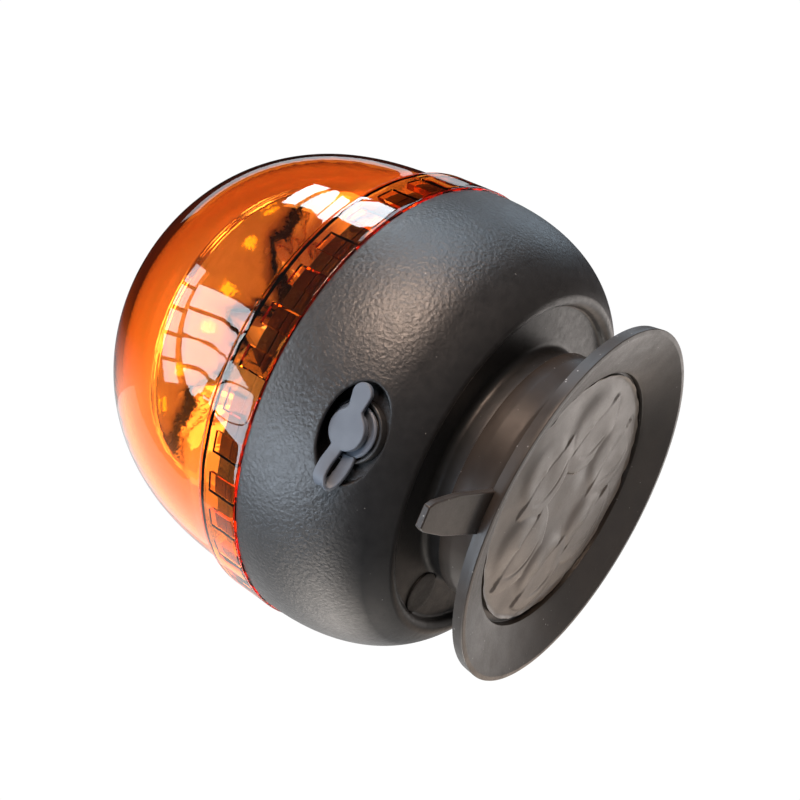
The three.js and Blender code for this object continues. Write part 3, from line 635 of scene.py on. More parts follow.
def pocket_column(surface, angle):
    """Points down the mouth at one angle: round its edge, along its wall and over its floor."""
    inward = np.array([0.0, -cos(PORT_TILT), sin(PORT_TILT)])
    lip = np.array(mouth_point(surface, angle))
    depth = max((lip[1] - PORT_FLOOR) / cos(PORT_TILT), 0.3)
    start = np.array(surface.point(*mouth_edge(surface, angle, PORT_EDGE)))
    corner = np.array(to_port(*lip))
    turn_in = np.array(to_port(*(lip + inward * min(PORT_EDGE, depth * 0.45))))
    shares = [k / 6 for k in range(7)]
    column = [(1 - u) ** 2 * start + 2 * u * (1 - u) * corner + u * u * turn_in for u in shares]
    foot = lip + inward * depth
    centre = np.array([PORT_X, foot[1], PORT_Z])
    reach = foot - centre
    edge = centre + reach / max(np.linalg.norm(reach), 1e-6) * PORT_HOLE
    inner = [lip + inward * depth * 0.72, foot, *(edge + (foot - edge) * share for share in FLOOR_RINGS)]
    return [*column, *(np.array(to_port(*p)) for p in inner), to_port(PORT_X, PORT_FLOOR - 4, PORT_Z)]


def strips(columns):
    """(vertices, faces) between neighbouring columns of points, the last one joined to the first."""
    vertices = [tuple(point) for row in zip(*columns) for point in row]
    return vertices, grid_faces(len(columns[0]), len(columns))


def port_pocket(surface, angles):
    """The rounded edge, the sloping wall and the upright floor of the port's mouth."""
    return strips([pocket_column(surface, angle) for angle in angles])


PORT_BACK = 50.5  # distance from the axis to the inner wall's flat behind the mouth
BOSS_HALF_ANGLE, BOSS_Z = 16.5, (24, 49)  # how far round and between which heights that flat goes


def behind_port(radius, z, azimuth):
    """The inner wall's radius at a height and azimuth, set back behind the charge port's mouth."""
    off = off_heading(azimuth, PORT_AZIMUTH)
    if abs(off) > BOSS_HALF_ANGLE or not BOSS_Z[0] < z < BOSS_Z[1]:
        return radius
    return min(radius, PORT_BACK / cos(radians(off)))


BUTTON_RADIUS, BUTTON_RING, BUTTON_FACE_Z = 5.8, 39.9, 23.5
BUTTON_WELL, WELL_EDGE = BUTTON_RADIUS + 0.12, 0.25  # the hole's radius and the width of its chamfer


def button_edge(surface, angle, grow=0.0):
    """The button hole's edge as (azimuth, length), moved outwards by grow."""
    reach, a = BUTTON_WELL + grow, radians(angle)
    aside, out = reach * cos(a), BUTTON_RING + reach * sin(a)
    azimuth = BUTTON_AZIMUTH + degrees(atan2(aside, out))
    return azimuth, surface.in_recess(hypot(aside, out))


def button_well(surface, angles):
    """The short bore that the button sits in."""
    top = RECESS_Z + 2.0
    middle = (*around(BUTTON_RING, BUTTON_AZIMUTH), top)
    columns = []
    for angle in angles:
        start = surface.point(*button_edge(surface, angle, WELL_EDGE))
        x, y, z = surface.point(*button_edge(surface, angle))
        columns.append((start, (x, y, z), (x, y, z + 0.3), (x, y, top), middle))
    return strips(columns)


SKIN_STEPS = 240
PITCH = TURN / SKIN_STEPS
PORT_WINDOW_Z, BUTTON_WINDOW_Z = (22.4, 47.5), 20.4


def columns_round(azimuth, half_angle, count):
    """The columns of the housing's grid round an azimuth."""
    first = round((azimuth - half_angle) / PITCH)
    return range(first, first + count)


def skin_windows(surface):
    """The rows and columns of grid cells left out round the charge port and round the button."""
    heights = surface.profile[:, 1]
    port_rows = [i for i in range(surface.bowl_rows) if PORT_WINDOW_Z[0] < heights[i] < PORT_WINDOW_Z[1]]
    above = range(surface.recess_rows.stop - 1, len(heights))
    last = [i for i in above if heights[i] > BUTTON_WINDOW_Z][-1]
    button_rows = range(surface.bowl_rows + 3, last + 1)
    port = (port_rows, columns_round(PORT_AZIMUTH, 19.5, 27))
    return port, (button_rows, columns_round(BUTTON_AZIMUTH, 13.5, 19))


def skin_grid(outside, inside, skip):
    """The turned bowl, with cells left out of its outside and the boss on its inside."""
    grid = []
    for k in range(SKIN_STEPS):
        azimuth = PITCH * k
        line = [*outside, *((behind_port(radius, z, azimuth), z) for radius, z in inside)]
        grid.append([(*around(radius, azimuth), z) for radius, z in line])
    vertices = [point for row in zip(*grid) for point in row]
    return vertices, grid_faces(len(outside) + len(inside), SKIN_STEPS, close_rows=True, skip=skip)


def make_housing():
    outside, inside = housing_profile()
    surface = Surface(outside)
    windows = skin_windows(surface)
    skip = {(r, c % SKIN_STEPS) for rows, columns in windows for r in rows[:-1] for c in columns[:-1]}
    port = (PORT_AZIMUTH, (mouth_edge(surface, 0.0)[1] + mouth_edge(surface, 180.0)[1]) / 2)
    button = (BUTTON_AZIMUTH, surface.in_recess(BUTTON_RING))
    holes = (
        (port, lambda a: mouth_edge(surface, a, PORT_EDGE), port_pocket),
        (button, lambda a: button_edge(surface, a, WELL_EDGE), button_well),
    )
    parts = [skin_grid(outside, inside, skip)]
    for (rows, columns), (centre, edge, lining) in zip(windows, holes):
        patch, angles = hole_patch(surface, [c * PITCH for c in columns], rows, centre, edge)
        parts += [patch, lining(surface, angles)]
    piece("base_housing_skin", joined(parts), "base_housing", "housing_black")


# ---- Lens ----

COLLAR_TOP, COLLAR_BORE, DOME_BASE, RIB_INNER = 69.4, 63.5, 75.8, 62.45
DOME_RADIUS, DOME_HEIGHT = 63.66, TOTAL_HEIGHT - DOME_BASE
DOME = {"core": 0.0, "half_width": DOME_RADIUS, "base": DOME_BASE, "height": DOME_HEIGHT, "power": 2.44}
RIB_PHASE, RIB_HALF, RIB_Z = 14.1, 2.5, (58.6, 67.2)  # half a rib's width in degrees
SINK_DEPTH, SINK_Z, SINK_SPAN = 0.09, 63.0, 6.0  # the shallow hollow that each rib draws in the outside


def lens_profile():
    """Lines of (radius, height): the outside and inside of the dome, and the collar's bore."""
    low = JOINT_Z + HALF_GAP
    outside = rounded(
        [
            (JOINT_RADIUS + 0.1, low), (JOINT_RADIUS + 0.55, low, 0.3),
            (JOINT_RADIUS + 0.7, COLLAR_TOP + 0.3, 1.0),
            (DOME_RADIUS + 0.28, COLLAR_TOP + 2.2, 0.35), (DOME_RADIUS, DOME_BASE),
        ]
    )
    outside = finer(outside, 1.2) + super_arc(**DOME, first=1, last=90, steps=80)
    thin = dict(DOME, half_width=DOME_RADIUS - LENS_WALL, height=DOME_HEIGHT - LENS_WALL)
    inside = super_arc(**thin, first=90, last=1, steps=80)
    inside += finer([(thin["half_width"], DOME_BASE), (thin["half_width"], 71.0), (COLLAR_BORE, 69.0)], 1.2)
    step, (bottom, top) = 0.08, RIB_Z
    heights = [67.4, top + step, top - step, 65.0, 62.8, 60.7, bottom + step, bottom - step, low]
    return outside + inside, [(COLLAR_BORE, z) for z in heights]


def rib_columns():
    """Azimuths round the lens, each with whether it is on a grip rib."""
    pitch, edge, soft = TURN / RIB_COUNT, RIB_HALF, 0.12
    offsets = [-edge - soft, -edge + soft, -1.2, 0.0, 1.2, edge - soft, edge + soft, 3.75, 5.0, 6.25]
    return [(RIB_PHASE + i * pitch + o, abs(o) < edge) for i in range(RIB_COUNT) for o in offsets]


def make_lens():
    dome, bore = lens_profile()
    columns = rib_columns()
    vertices = []
    for row, (radius, z) in enumerate(dome + bore):
        ribbed = row >= len(dome) and RIB_Z[0] < z < RIB_Z[1]
        sink = SINK_DEPTH * max(0.0, 1 - ((z - SINK_Z) / SINK_SPAN) ** 2) * (radius > JOINT_RADIUS)
        for azimuth, on_rib in columns:
            wave = sink * cos(radians((azimuth - RIB_PHASE) * RIB_COUNT))
            vertices.append((*around(RIB_INNER if ribbed and on_rib else radius - wave, azimuth), z))
    faces = grid_faces(len(dome + bore), len(columns), close_rows=True)
    piece("lens_moulding", (vertices, faces), "lens_dome", "amber_lens", sharp=28)


def make_gasket():
    low, high = GROOVE_LOW + 0.2, GROOVE_TOP - 0.2
    bore, rim = SPIGOT_RADIUS - GROOVE_DEPTH + 0.1, SPIGOT_RADIUS + 0.2
    ring = rounded([(bore, low, 0.5), (rim, low, 0.7), (rim, high, 0.7), (bore, high, 0.5)], closed=True)
    piece("lens_seal", lathe(ring, 180), "lens_gasket", "foot_rubber")


# ---- Suction foot ----

RIM_TOP = 3.05
BAY_RADIUS, BAY_TOP = 31.7, 14.3  # the hollow that holds the magnets
POCKET_RADIUS, POCKET_Z, POCKET_LIP = 36.1, 6.3, 4.7  # the mouth that the magnets' film sits in


def cup_flare():
    """The bell from the neck to the rim."""
    a, b, c = (Vector(p) for p in ((NECK_RADIUS - 1.0, 10.5), (34.1, 6.6), (FOOT_RADIUS - 0.3, RIM_TOP)))
    return [tuple((1 - u) ** 2 * a + 2 * u * (1 - u) * b + u * u * c) for u in (k / 24 for k in range(25))]


def cup_profile():
    under = [
        (BOLT_HOLE, BAY_TOP), (BAY_RADIUS, BAY_TOP), (BAY_RADIUS, POCKET_Z),
        (POCKET_RADIUS, POCKET_Z, 0.2), (POCKET_RADIUS, POCKET_LIP, 0.2), (48.2, 0.05, 0.5),
        (FOOT_RADIUS, 0.02, 0.2), (FOOT_RADIUS + 0.05, RIM_TOP - 0.1, 0.25),
    ]
    waist = [(NECK_RADIUS - 1.0, 10.6), (NECK_RADIUS - 0.1, 14.6, 6.0)]
    neck = rounded([*waist, (NECK_RADIUS + 0.1, NECK_TOP_Z, 0.25), (BOLT_HOLE, NECK_TOP_Z)])
    return finer(rounded(under)[:-1] + cup_flare()[::-1] + neck, 1.4)


def tab_outline():
    """The pull tab seen from above, pointing along -Y from the rim."""
    root, tip, end = 5.25, 3.0, 74.0
    left = [(-root, -47.6), (-root + 0.25, -55.0), (-root + 0.6, -64.0)]
    left += [(-tip - 0.3, -end + 1.8), (-tip + 0.6, -end)]
    return left + [(-x, y) for x, y in left[::-1]]


FOOT_SHIFT = (-0.3, 0.5, -0.6)  # the soft rim sits a little off the housing's axis
SOFT_TOP, SOFT_DEPTH = 15.0, 10.0  # it bends that way over this depth, down from the neck
TAB_Z = (2.35, 3.95)


def settled(point):
    """A point of the cup, moved with the soft rim by its share."""
    share = max(0.0, min(1.0, (SOFT_TOP - point[2]) / SOFT_DEPTH))
    return tuple(np.add(point, np.multiply(FOOT_SHIFT, share)))


def make_foot():
    piece("foot_cup", lathe(cup_profile(), 240, settled), "suction_cup", "foot_rubber")
    outline = tab_outline()
    tab, faces = prism(finer([*outline, outline[0]], 1.5)[:-1], *TAB_Z)
    turn = Matrix.Rotation(radians(TAB_AZIMUTH), 4, "Z")
    tab = [tuple(turn @ Vector(v) + Vector(FOOT_SHIFT)) for v in tab]
    pull = bevelled(build("foot_pull_tab", tab, faces, FINISHES["foot_rubber"]), 0.3)
    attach(pull, "housing")


FILM_SHIFT = 0.55  # of the film from the middle of its pocket
SLACK_HEADING = 15.0  # the side of each magnet where the film slopes off gently


def from_magnet(i, x, y):
    """Distance from a magnet's centre, and the heading from it, counted like an azimuth."""
    cx, cy = around(MAGNET_RING, MAGNET_PHASE + i * TURN / MAGNET_COUNT)
    return hypot(x - cx, y - cy), degrees(atan2(x - cx, cy - y))


def near_heading(heading, aim, span):
    """1 along the aim, down to 0 a span away from it."""
    return max(0.0, 1 - (off_heading(heading, aim) / span) ** 2)


BULGE = 0.75  # how far the film stands out over a magnet
HELD_HEIGHT, HELD_FALL = 0.62, 0.05  # share of that over a magnet's tight side, and its loss per millimetre
TIGHT_SLOPE = 3 / 11  # what counts as the tight side


def over_magnet(i, x, y):
    """The film's height over one magnet, as a share of its bulge."""
    away, heading = from_magnet(i, x, y)
    slope = near_heading(heading, SLACK_HEADING + 9 * sin(2.1 * i), 110)
    edge = 0.5 - 0.5 * tanh((away - MAGNET_RADIUS - 0.2) / (1.0 + 1.2 * slope))
    held = 0.0
    if slope < TIGHT_SLOPE and away < MAGNET_RADIUS + 4:
        held = HELD_HEIGHT - HELD_FALL * max(away - MAGNET_RADIUS, 0)
    return max(edge * (0.3 + 0.7 * slope), held)


def film_height(x, y):
    """How far the film stands out of its rim's plane. It is drawn tight over one side of every magnet,
    slopes off gently on the other, and hangs slack between them."""
    slack = noise.noise(Vector((x, y, 3.0)) / 11.0) * 0.35 + noise.noise(Vector((x, y, 9.0)) / 4.5) * 0.03
    return BULGE * max(over_magnet(i, x, y) for i in range(MAGNET_COUNT)) + slack


FOLD_HEADING, FOLD_SPAN, FOLD_WIDTH, FOLD_DEPTH = SLACK_HEADING + 186, 48.0, 0.45, 0.22


def crease_height(x, y):
    """Sharp crescent folds along the tight side of the magnets."""
    total = 0.0
    for i in range(MAGNET_COUNT):
        away, heading = from_magnet(i, x, y)
        aim, span = FOLD_HEADING + 14 * sin(1.7 * i), FOLD_SPAN + 10 * cos(2.3 * i)
        line = (away - MAGNET_RADIUS - 0.3 + 0.9 * off_heading(heading, aim) / span) / FOLD_WIDTH
        total -= FOLD_DEPTH * near_heading(heading, aim, span) ** 0.7 * exp(-line * line)
    return total


HOLD_RADIUS, HOLD_WIDTH = 30.5, 4.4  # from here the film settles to its flat edge
CURL_START = 0.965  # share of the radius where the edge begins to curl


def film_point(azimuth, share):
    """A point of the film at an azimuth and a share of its radius, which waves along its edge."""
    wave = noise.noise(Vector((*around(5.0, azimuth), 2.0))) * 0.45
    radius = (MEMBRANE_RADIUS + 0.1 + wave * share ** 8) * share
    x, y = around(radius, azimuth)
    hold = max(1 - max(0.0, (radius - HOLD_RADIUS) / HOLD_WIDTH) ** 2, 0.0)
    curl = 0.5 * max(0.0, (share - CURL_START) / (1 - CURL_START)) ** 2
    curl *= 0.8 + 0.8 * noise.noise(Vector((x, y, 0)) / 4.0)
    out = (film_height(x, y) + crease_height(x, y)) * hold + curl
    return x, y + FILM_SHIFT, MEMBRANE_Z + 0.1 - out


def make_membrane():
    """The rubber film drawn over the magnets, with its wavy curled edge."""
    rings, steps, back = 96, 288, MEMBRANE_Z + 0.6
    vertices = [film_point(TURN * k / steps, i / rings) for i in range(rings + 1) for k in range(steps)]
    vertices += [(x, y, back) for x, y, _ in vertices[-steps:]]
    vertices += [(0.0, FILM_SHIFT, back)] * steps
    shape = vertices, grid_faces(rings + 3, steps)
    piece("magnet_film", shape, "magnet_membrane", "membrane_film", sharp=50)


# ---- Reflector and LEDs ----

FLARE_Z, FLARE_HEIGHT = 62.3, 44.1
FLARE_HUB, FLARE_REACH = 16.0, 32.5
FACET_Z, FACET_HEIGHT, FACET_DEPTH = 65.3, 40.1, 4.0
FLUTES, FLUTE_DEPTH = 3 * LED_COUNT, 0.5
MIRROR_WALL = 1.1


def flare_point(share):
    """A point of the flare's outline, from its hub to its rim."""
    rise = sin(share * pi / 2) ** 0.9
    return FLARE_HUB + FLARE_REACH * share ** 1.25, FLARE_Z + FLARE_HEIGHT * rise


def facet_depth(azimuth, z):
    """How far a hollow facet is pressed in at an azimuth and height, with its fine flutes."""
    height = min(max((z - FACET_Z) / FACET_HEIGHT, 0.0), 1.0)
    share = (azimuth / TURN * LED_COUNT) % 1.0
    facet = FACET_DEPTH * 4 * share * (1 - share)
    flute = FLUTE_DEPTH * abs(sin(radians(azimuth * FLUTES / 2)))
    return sin(pi * height ** 1.4) * (facet + flute)


def rim_band(radius, z):
    """The grooved band round the flare's rim."""
    outer, groove = radius + 0.7, radius + 0.1
    return rounded(
        [
            (radius, z), (outer, z + 0.1, 0.2), (outer, z + 1.2, 0.2), (groove, z + 1.4, 0.15),
            (groove, z + 2.1, 0.15), (outer, z + 2.3, 0.2), (outer, z + 3.3, 0.3),
            (radius - 1.2, z + 3.3, 0.3), (radius - 1.6, z + 1.2),
        ]
    )


def make_reflector():
    rows, steps = 60, 320
    outside = [flare_point(i / rows) for i in range(rows + 1)]
    inside = [(r - 1.8, z + MIRROR_WALL) for r, z in outside[::-1]]
    under = finer([(0.0, FLARE_Z), outside[0]], 4)
    profile = [(0.0, FLARE_Z), *under[1:], *outside[1:], *rim_band(*outside[-1])[1:], *inside]
    profile.append((0.0, FLARE_Z + MIRROR_WALL))
    rim = outside[-1][0] - 0.01
    vertices = []
    for radius, z in profile:
        for k in range(steps):
            azimuth = TURN * k / steps
            depth = facet_depth(azimuth, z) if 12 < radius < rim else 0.0
            vertices.append((*around(max(radius - depth, 0.0), azimuth), z))
    shape = vertices, grid_faces(len(profile), steps, close_rows=True)
    piece("optic_flare", shape, "reflector", "mirror_plastic", sharp=20)


LED_RING, LED_Z, LED_HALF, LED_BODY = 43.0, 62.1, 2.6, 1.2
LED_DOME = (2.1, 1.1, 1.9)  # its radius, base and height


def make_leds():
    radius, base, height = LED_DOME
    dome = [(radius * cos(a), base + height * sin(a)) for a in np.linspace(0, pi / 2, 10)]
    square = [(-LED_HALF, -LED_HALF), (LED_HALF, -LED_HALF), (LED_HALF, LED_HALF), (-LED_HALF, LED_HALF)]
    shape, faces = joined([prism(square, 0.0, LED_BODY), lathe([(0.0, 0.9), (radius, 0.9), *dome], 32)])
    for i in range(LED_COUNT):
        azimuth = (i + 0.5) * TURN / LED_COUNT
        turn = Matrix.Rotation(radians(azimuth), 4, "Z")
        turn = Matrix.Translation((*around(LED_RING, azimuth), LED_Z)) @ turn
        vertices = [tuple(turn @ Vector(v)) for v in shape]
        piece(f"lamp_{i + 1}", (vertices, faces), f"led_{i + 1}", "led_yellow")


# ---- Charge port ----


def port_turn(point):
    """A lathe's point, with its axis turned to run out of the port."""
    x, y, out = point
    return to_port(x + PORT_X, out, y + PORT_Z)


def make_socket():
    """The threaded tube and its raised flange, in (radius, distance out)."""
    ring = [
        (3.8, 44.0), (3.8, 57.3, 0.2), (5.6, 57.3, 0.15), (5.9, 57.0, 0.15), (6.5, 57.0, 0.15),
        (6.75, 57.9, 0.2), (7.45, 57.9, 0.3), (7.6, 56.2), (5.7, 56.2), (5.7, 41.0), (3.8, 41.0),
    ]
    piece("port_socket", lathe(rounded(ring, closed=True), 96, port_turn), "charge_socket", "housing_black")


CAP_RADIUS, CAP_BACK, CAP_FACE = 4.85, 59.8, 61.05
PLUG_RADIUS, PLUG_END = 2.8, 56.4
LUG_RADIUS, LUG_REACH = 2.6, 8.7


def make_cap():
    """Rubber disc with a pull lug and a plug under it."""
    under = [(0, 60.0), (CAP_RADIUS, 60.0), (CAP_RADIUS, 59.3, 0.25), (3.4, 59.2, 0.2)]
    under += [(PLUG_RADIUS, 58.8), (PLUG_RADIUS, PLUG_END + 0.1, 0.3), (0, PLUG_END)]
    disc = [around(CAP_RADIUS, 90 - a) for a in np.linspace(34, 326, 60)]
    end = arc((LUG_REACH, 0.0), LUG_RADIUS, 96, -96, 24)
    outline = rounded([*disc, (5.0, 2.0, 0.5), *end, (5.0, -2.0, 0.5)])
    vertices, faces = joined([lathe(rounded(under), 96), prism(outline, CAP_BACK, CAP_FACE)])
    shape = map(port_turn, vertices), faces
    bevelled(piece("cap_disc", shape, "charge_cap", "cap_rubber", "cap"), 0.3)


def smooth_through(path, steps):
    """Points along a smooth curve through all the points of a path."""
    points = [Vector(p) for p in path]
    knots = []
    for i in range(steps + 1):
        t = i / steps * (len(points) - 1)
        k = min(int(t), len(points) - 2)
        u = t - k
        a, b, c, d = points[max(k - 1, 0)], points[k], points[k + 1], points[min(k + 2, len(points) - 1)]
        bend = (2 * a - 5 * b + 4 * c - d) * u * u + (3 * b - a - 3 * c + d) * u ** 3
        knots.append(0.5 * (2 * b + (c - a) * u + bend))
    return knots


def ribbon(path, width, thick, steps=60):
    """(vertices, faces) of a flat strap with rounded edges along a path, its width upright."""
    knots = smooth_through(path, steps)
    w, t, edge = width / 2, thick / 2, 0.35
    section = rounded([(-w, -t, edge), (w, -t, edge), (w, t, edge), (-w, t, edge)], closed=True, steps=3)
    vertices = []
    for i, knot in enumerate(knots):
        along = (knots[min(i + 1, steps)] - knots[max(i - 1, 0)]).normalized()
        upright = Vector((0, 0, 1))
        upright = (upright - along * upright.dot(along)).normalized()
        across = along.cross(upright)
        vertices += [tuple(knot + upright * a + across * b) for a, b in section]
    count = len(section)
    ends = [list(range(count))[::-1], [steps * count + k for k in range(count)]]
    return vertices, grid_faces(steps + 1, count) + ends


RING_SIDE, CAP_SIDE = (-9.0, 59.3, 33.1), (-9.0, 61.5, 35.9)  # two points along the strap, by the ring and by the cap


def make_tether():
    """The ring round the socket and the strap that goes out, over and back to the cap."""
    ring = [(4.1, 58.0), (6.3, 58.0), (6.4, 58.45, 0.2), (5.9, 58.75, 0.2)]
    ring += [(4.6, 58.3, 0.2), (4.1, 58.3, 0.1)]
    piece("tether_ring", lathe(rounded(ring, closed=True), 96, port_turn), "cap_tether", "cap_rubber")
    path = [
        (-2.6, 60.45, 35.3), (-5.2, 60.6, 35.7), (-8.2, 61.3, 36.1), (-11.0, 61.9, 35.9),
        (-12.6, 61.5, 35.2), (-12.9, 60.6, 34.3), (-11.9, 59.8, 33.5), (-9.6, 59.2, 32.9),
        (-7.0, 58.75, 32.6), (-5.0, 58.45, 32.8),
    ]
    vertices, faces = ribbon([to_port(*p) for p in path], 3.3, 1.15)
    strap = build("tether_strap", vertices, faces, FINISHES["cap_rubber"])
    tuple(Vector(to_port(*RING_SIDE)) * MM)
    tuple(Vector(to_port(*CAP_SIDE)) * MM)
    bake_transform(strap)


# ---- Button ----


def make_button():
    """The button, its face a little domed and its body short enough to move up in its well."""
    low, top = BUTTON_FACE_Z, RECESS_Z + 0.7
    face = [(0, low + 0.12), (2.2, low + 0.08), (4.2, low + 0.02), (BUTTON_RADIUS, low, 0.3)]
    x, y = around(BUTTON_RING, BUTTON_AZIMUTH)
    profile = rounded([*face, (BUTTON_RADIUS, top), (0, top)])
    shape = lathe(profile, 96, lambda p: (p[0] + x, p[1] + y, p[2]))
    piece("push_button", shape, "power_button", "foot_rubber", "button", finish="button_rubber")


# ---- Stage, light and camera ----

FLOOR_Z, FLOOR_HALF, FLOOR_GLOW = -0.65, 2500.0, 0.62


def make_floor():
    """A pale floor under the foot. It shows from above only, so that a low camera sees the underside."""
    n = Nodes("floor_pale")
    n.into("Base Color", n.mix(n.spread(n.noise(60.0), 0.3, 0.7), (0.56, 0.56, 0.56), (0.60, 0.60, 0.60)))
    n.set(Roughness=0.7, Emission_Color=(1.0, 1.0, 1.0, 1.0), Emission_Strength=FLOOR_GLOW)
    clear = n.add("ShaderNodeBsdfTransparent").outputs[0]
    back = n.add("ShaderNodeNewGeometry").outputs["Backfacing"]
    mix = n.add("ShaderNodeMixShader", {0: back, 1: n.shader.outputs[0], 2: clear})
    n.tree.links.new(mix.outputs[0], n.tree.nodes["Material Output"].inputs["Surface"])
    corners = [(x * FLOOR_HALF, y * FLOOR_HALF, FLOOR_Z) for x, y in ((-1, -1), (1, -1), (1, 1), (-1, 1))]
    floor = build("floor", corners, [[0, 1, 2, 3]], n.owner, outward=False)
    floor.visible_shadow = floor.visible_glossy = floor.visible_diffuse = False
    floor.visible_transmission = False
    floor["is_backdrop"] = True


BACKDROP = (1.02, 1.02, 1.02)
ROOM_LIGHT = (0.10, 0.10, 0.10)  # of the room all round, against the white backdrop's 1
ROOM_SHADE = (0.02, 0.012, 0.01)  # of the room behind and above the part
BEHIND_LOW = (1.3, 1.3, 1.3)  # the backdrop behind and below the part
BEHIND_TOP = (0.42, 0.31, 0.50)  # the dim room above the backdrop
EDGE_SHADE = (0.25, 0.2, 0.2)  # of what is seen along the wall at the dome's outline
MIRRORED_NEAR, MIRRORED_FAR = (0.45, 0.45, 0.45), (1.6, 1.6, 1.6)  # of what the reflector shows
PLAIN = (1.0, 1.0, 1.0)


def lens_contrast(n, path, inside_lens, rise, near):
    """What light seen through the lens is multiplied by: dark at the dome's outline, lively in mirrors."""
    outline = n.times(n.math("LESS_THAN", path["Transmission Depth"], 2.5), inside_lens)
    outline = n.times(outline, n.spread(rise, -0.12, 0.22))
    deep = n.math("SUBTRACT", inside_lens, outline)
    mirrored = n.times(deep, n.math("MINIMUM", path["Glossy Depth"], 1.0))
    lively = n.mix(n.spread(near, 0.5, -0.3), MIRRORED_NEAR, MIRRORED_FAR)
    return n.mix(outline, n.mix(mirrored, PLAIN, lively), EDGE_SHADE)


def make_world(view):
    """A white backdrop behind the part, which gives way to a dim room upwards and towards the camera."""
    n = Nodes("studio", "worlds", "Background")
    bpy.context.scene.world = n.owner
    towards = n.add("ShaderNodeTexCoord").outputs["Generated"]
    rise, near = (
        n.add("ShaderNodeVectorMath", {0: towards, 1: tuple(axis)}, operation="DOT_PRODUCT").outputs["Value"]
        for axis in (view.col[1], view.col[2])
    )
    path = n.add("ShaderNodeLightPath").outputs
    inside_lens = n.math("MINIMUM", path["Transmission Depth"], 1.0)
    backdrop = n.mix(n.spread(rise, -0.02, 0.28), BEHIND_LOW, BEHIND_TOP)
    behind = n.times(n.spread(near, -0.15, -0.65), n.spread(rise, 0.16, -0.06))
    share = n.math("MAXIMUM", n.times(behind, 0.6), inside_lens)
    shade = n.times(n.spread(near, 0.1, -0.3), n.spread(rise, -0.05, 0.2))
    room = n.mix(share, n.mix(shade, ROOM_LIGHT, ROOM_SHADE), backdrop)
    contrast = lens_contrast(n, path, inside_lens, rise, near)
    room = n.add("ShaderNodeVectorMath", {0: room, 1: contrast}, operation="MULTIPLY").outputs["Vector"]
    n.into("Color", n.mix(path["Is Camera Ray"], room, BACKDROP))
    n.set(Strength=1.0)


CAMERA_TARGET = Vector((2.0, 0.0, 62.05))
CAMERA_DISTANCE = 287.5
CAMERA_AZIMUTH = -0.47
CAMERA_ELEVATION = -30.6
CAMERA_ROLL = -61.35
CAMERA_LENS = 45.37


def make_camera():
    data = bpy.data.cameras.new("camera")
    data.lens, data.sensor_width = CAMERA_LENS, 36.0
    data.clip_start, data.clip_end = 0.01, 20.0
    camera = linked("camera", data)
    lift = radians(CAMERA_ELEVATION)
    side = around(cos(lift), CAMERA_AZIMUTH)
    back = Vector((side[0], side[1], sin(lift)))
    roll = Matrix.Rotation(radians(CAMERA_ROLL), 3, "Z")
    facing = (-back).to_track_quat("-Z", "Y").to_matrix() @ roll
    place = (CAMERA_TARGET + back * CAMERA_DISTANCE) * MM
    camera.matrix_world = Matrix.Translation(place) @ facing.to_4x4()
    bpy.context.scene.camera = camera
    return camera


LIGHT_AIM, LIGHT_DISTANCE = Vector((0, 0, 70)), 900.0


def add_light(camera, name, side, size, bright, colour, shift=0.0):
    """A soft box. side is its direction as (right, up, towards the camera) in the camera's view, size its
    width and height in millimetres, bright how many times brighter than the backdrop it is, and shift
    how far up its own height it is moved."""
    data = bpy.data.lights.new(name, "AREA")
    data.shape, data.size, data.size_y = "RECTANGLE", size[0] * MM, size[1] * MM
    data.energy = bright * pi * data.size * data.size_y
    data.color = colour
    view = camera.matrix_world.to_3x3()
    back = view @ Vector(side).normalized()
    across = (view @ Vector((0, 1, 0))).cross(back).normalized()
    up = back.cross(across)
    facing = Matrix((across, up, back)).transposed()
    place = (LIGHT_AIM + back * LIGHT_DISTANCE + up * shift) * MM
    linked(name, data).matrix_world = Matrix.Translation(place) @ facing.to_4x4()


def add_window(camera, name, side, size, bright, colour, panes, bar):
    """A soft box split into panes one above another, with dark bars between them."""
    pane = (size[1] - bar * (panes - 1)) / panes
    for k in range(panes):
        shift = (k + 0.5) * (pane + bar) - bar / 2 - size[1] / 2
        add_light(camera, f"{name}_{k + 1}", side, (size[0], pane), bright, colour, shift)


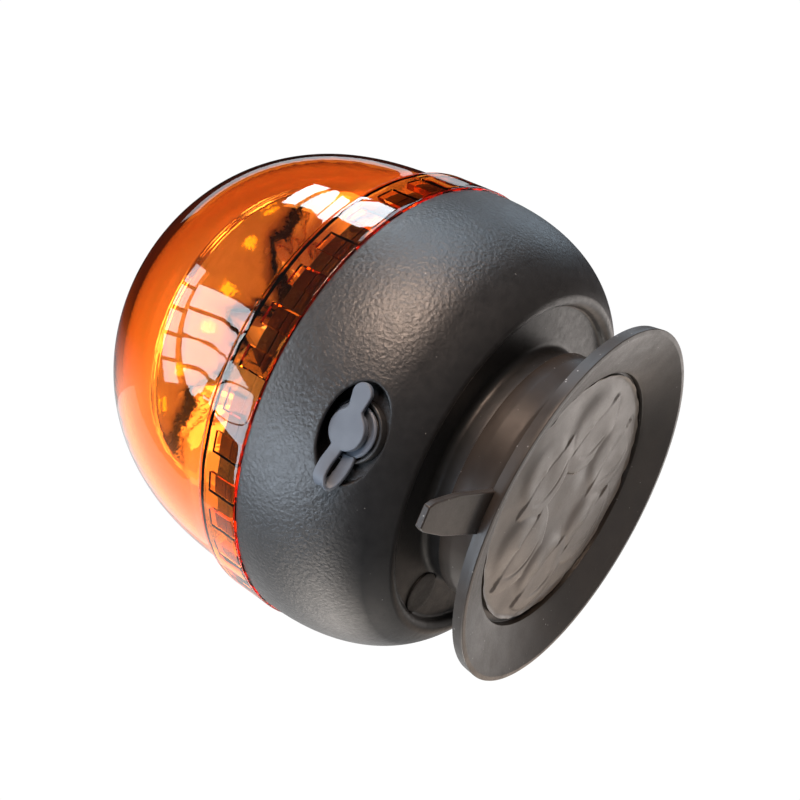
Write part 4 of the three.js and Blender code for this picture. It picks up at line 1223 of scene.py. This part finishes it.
# Each light's name, side, size, brightness and colour, and a window's panes and bar.
LIGHTS = (
    ("warm_key", (0.0, 0.68, 0.73), (400, 370), 27.0, (1.0, 0.74, 0.58)),
    ("left_wall", (-0.79, -0.33, 0.52), (760, 460), 8.8, (0.76, 0.87, 1.0)),
    ("left_window", (-0.95, 0.31, 0.03), (110, 640), 6.5, (0.86, 0.93, 1.0), 5, 20),
    ("near_window", (-0.93, 0.25, 0.25), (220, 600), 9.0, (0.86, 0.93, 1.0), 4, 20),
    ("top_window", (-0.18, 0.965, -0.17), (230, 210), 13.0, (0.85, 0.93, 1.0), 3, 16),
    ("sky", (0.17, 0.95, 0.12), (560, 560), 4.8, (0.64, 0.83, 1.0)),
    ("sky_behind", (-0.12, 0.62, -0.77), (900, 120), 1.0, (0.90, 0.94, 1.0)),
    ("sky_right", (0.50, 0.68, -0.54), (420, 420), 1.7, (0.66, 0.84, 1.0)),
    ("table_left", (-0.30, -0.93, -0.18), (820, 460), 3.8, (1.0, 0.91, 0.83)),
    ("table_below", (0.20, -0.95, -0.16), (520, 340), 4.2, (1.0, 0.9, 0.8)),
    ("wall_left_low", (-0.70, -0.34, -0.63), (620, 560), 0.5, (1.0, 0.96, 0.94)),
    ("floor_right", (0.86, -0.46, 0.20), (400, 400), 1.2, (1.0, 0.9, 0.85)),
    ("table_right", (0.49, -0.61, -0.62), (520, 340), 1.4, (1.0, 0.72, 0.52)),
    ("wall_right", (0.79, -0.14, -0.60), (620, 430), 1.75, (1.0, 0.89, 0.82)),
)


def make_lights(camera):
    for name, side, size, bright, colour, *window in LIGHTS:
        add = add_window if window else add_light
        add(camera, name, side, size, bright, colour, *window)


dress_frame()
make_housing()
make_lens()
make_gasket()
make_foot()
make_membrane()
make_reflector()
make_leds()
make_socket()
make_cap()
make_tether()
make_button()
make_floor()
camera = make_camera()
make_world(camera.matrix_world.to_3x3())
make_lights(camera)
bpy.context.scene.view_settings.view_transform = "Standard"

low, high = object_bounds()
sizes = {"cad": [list(cad_low), list(cad_high)], "visual": [list(low), list(high)]}
{k: [[round(x, 6) for x in c] for c in v] for k, v in sizes.items()}
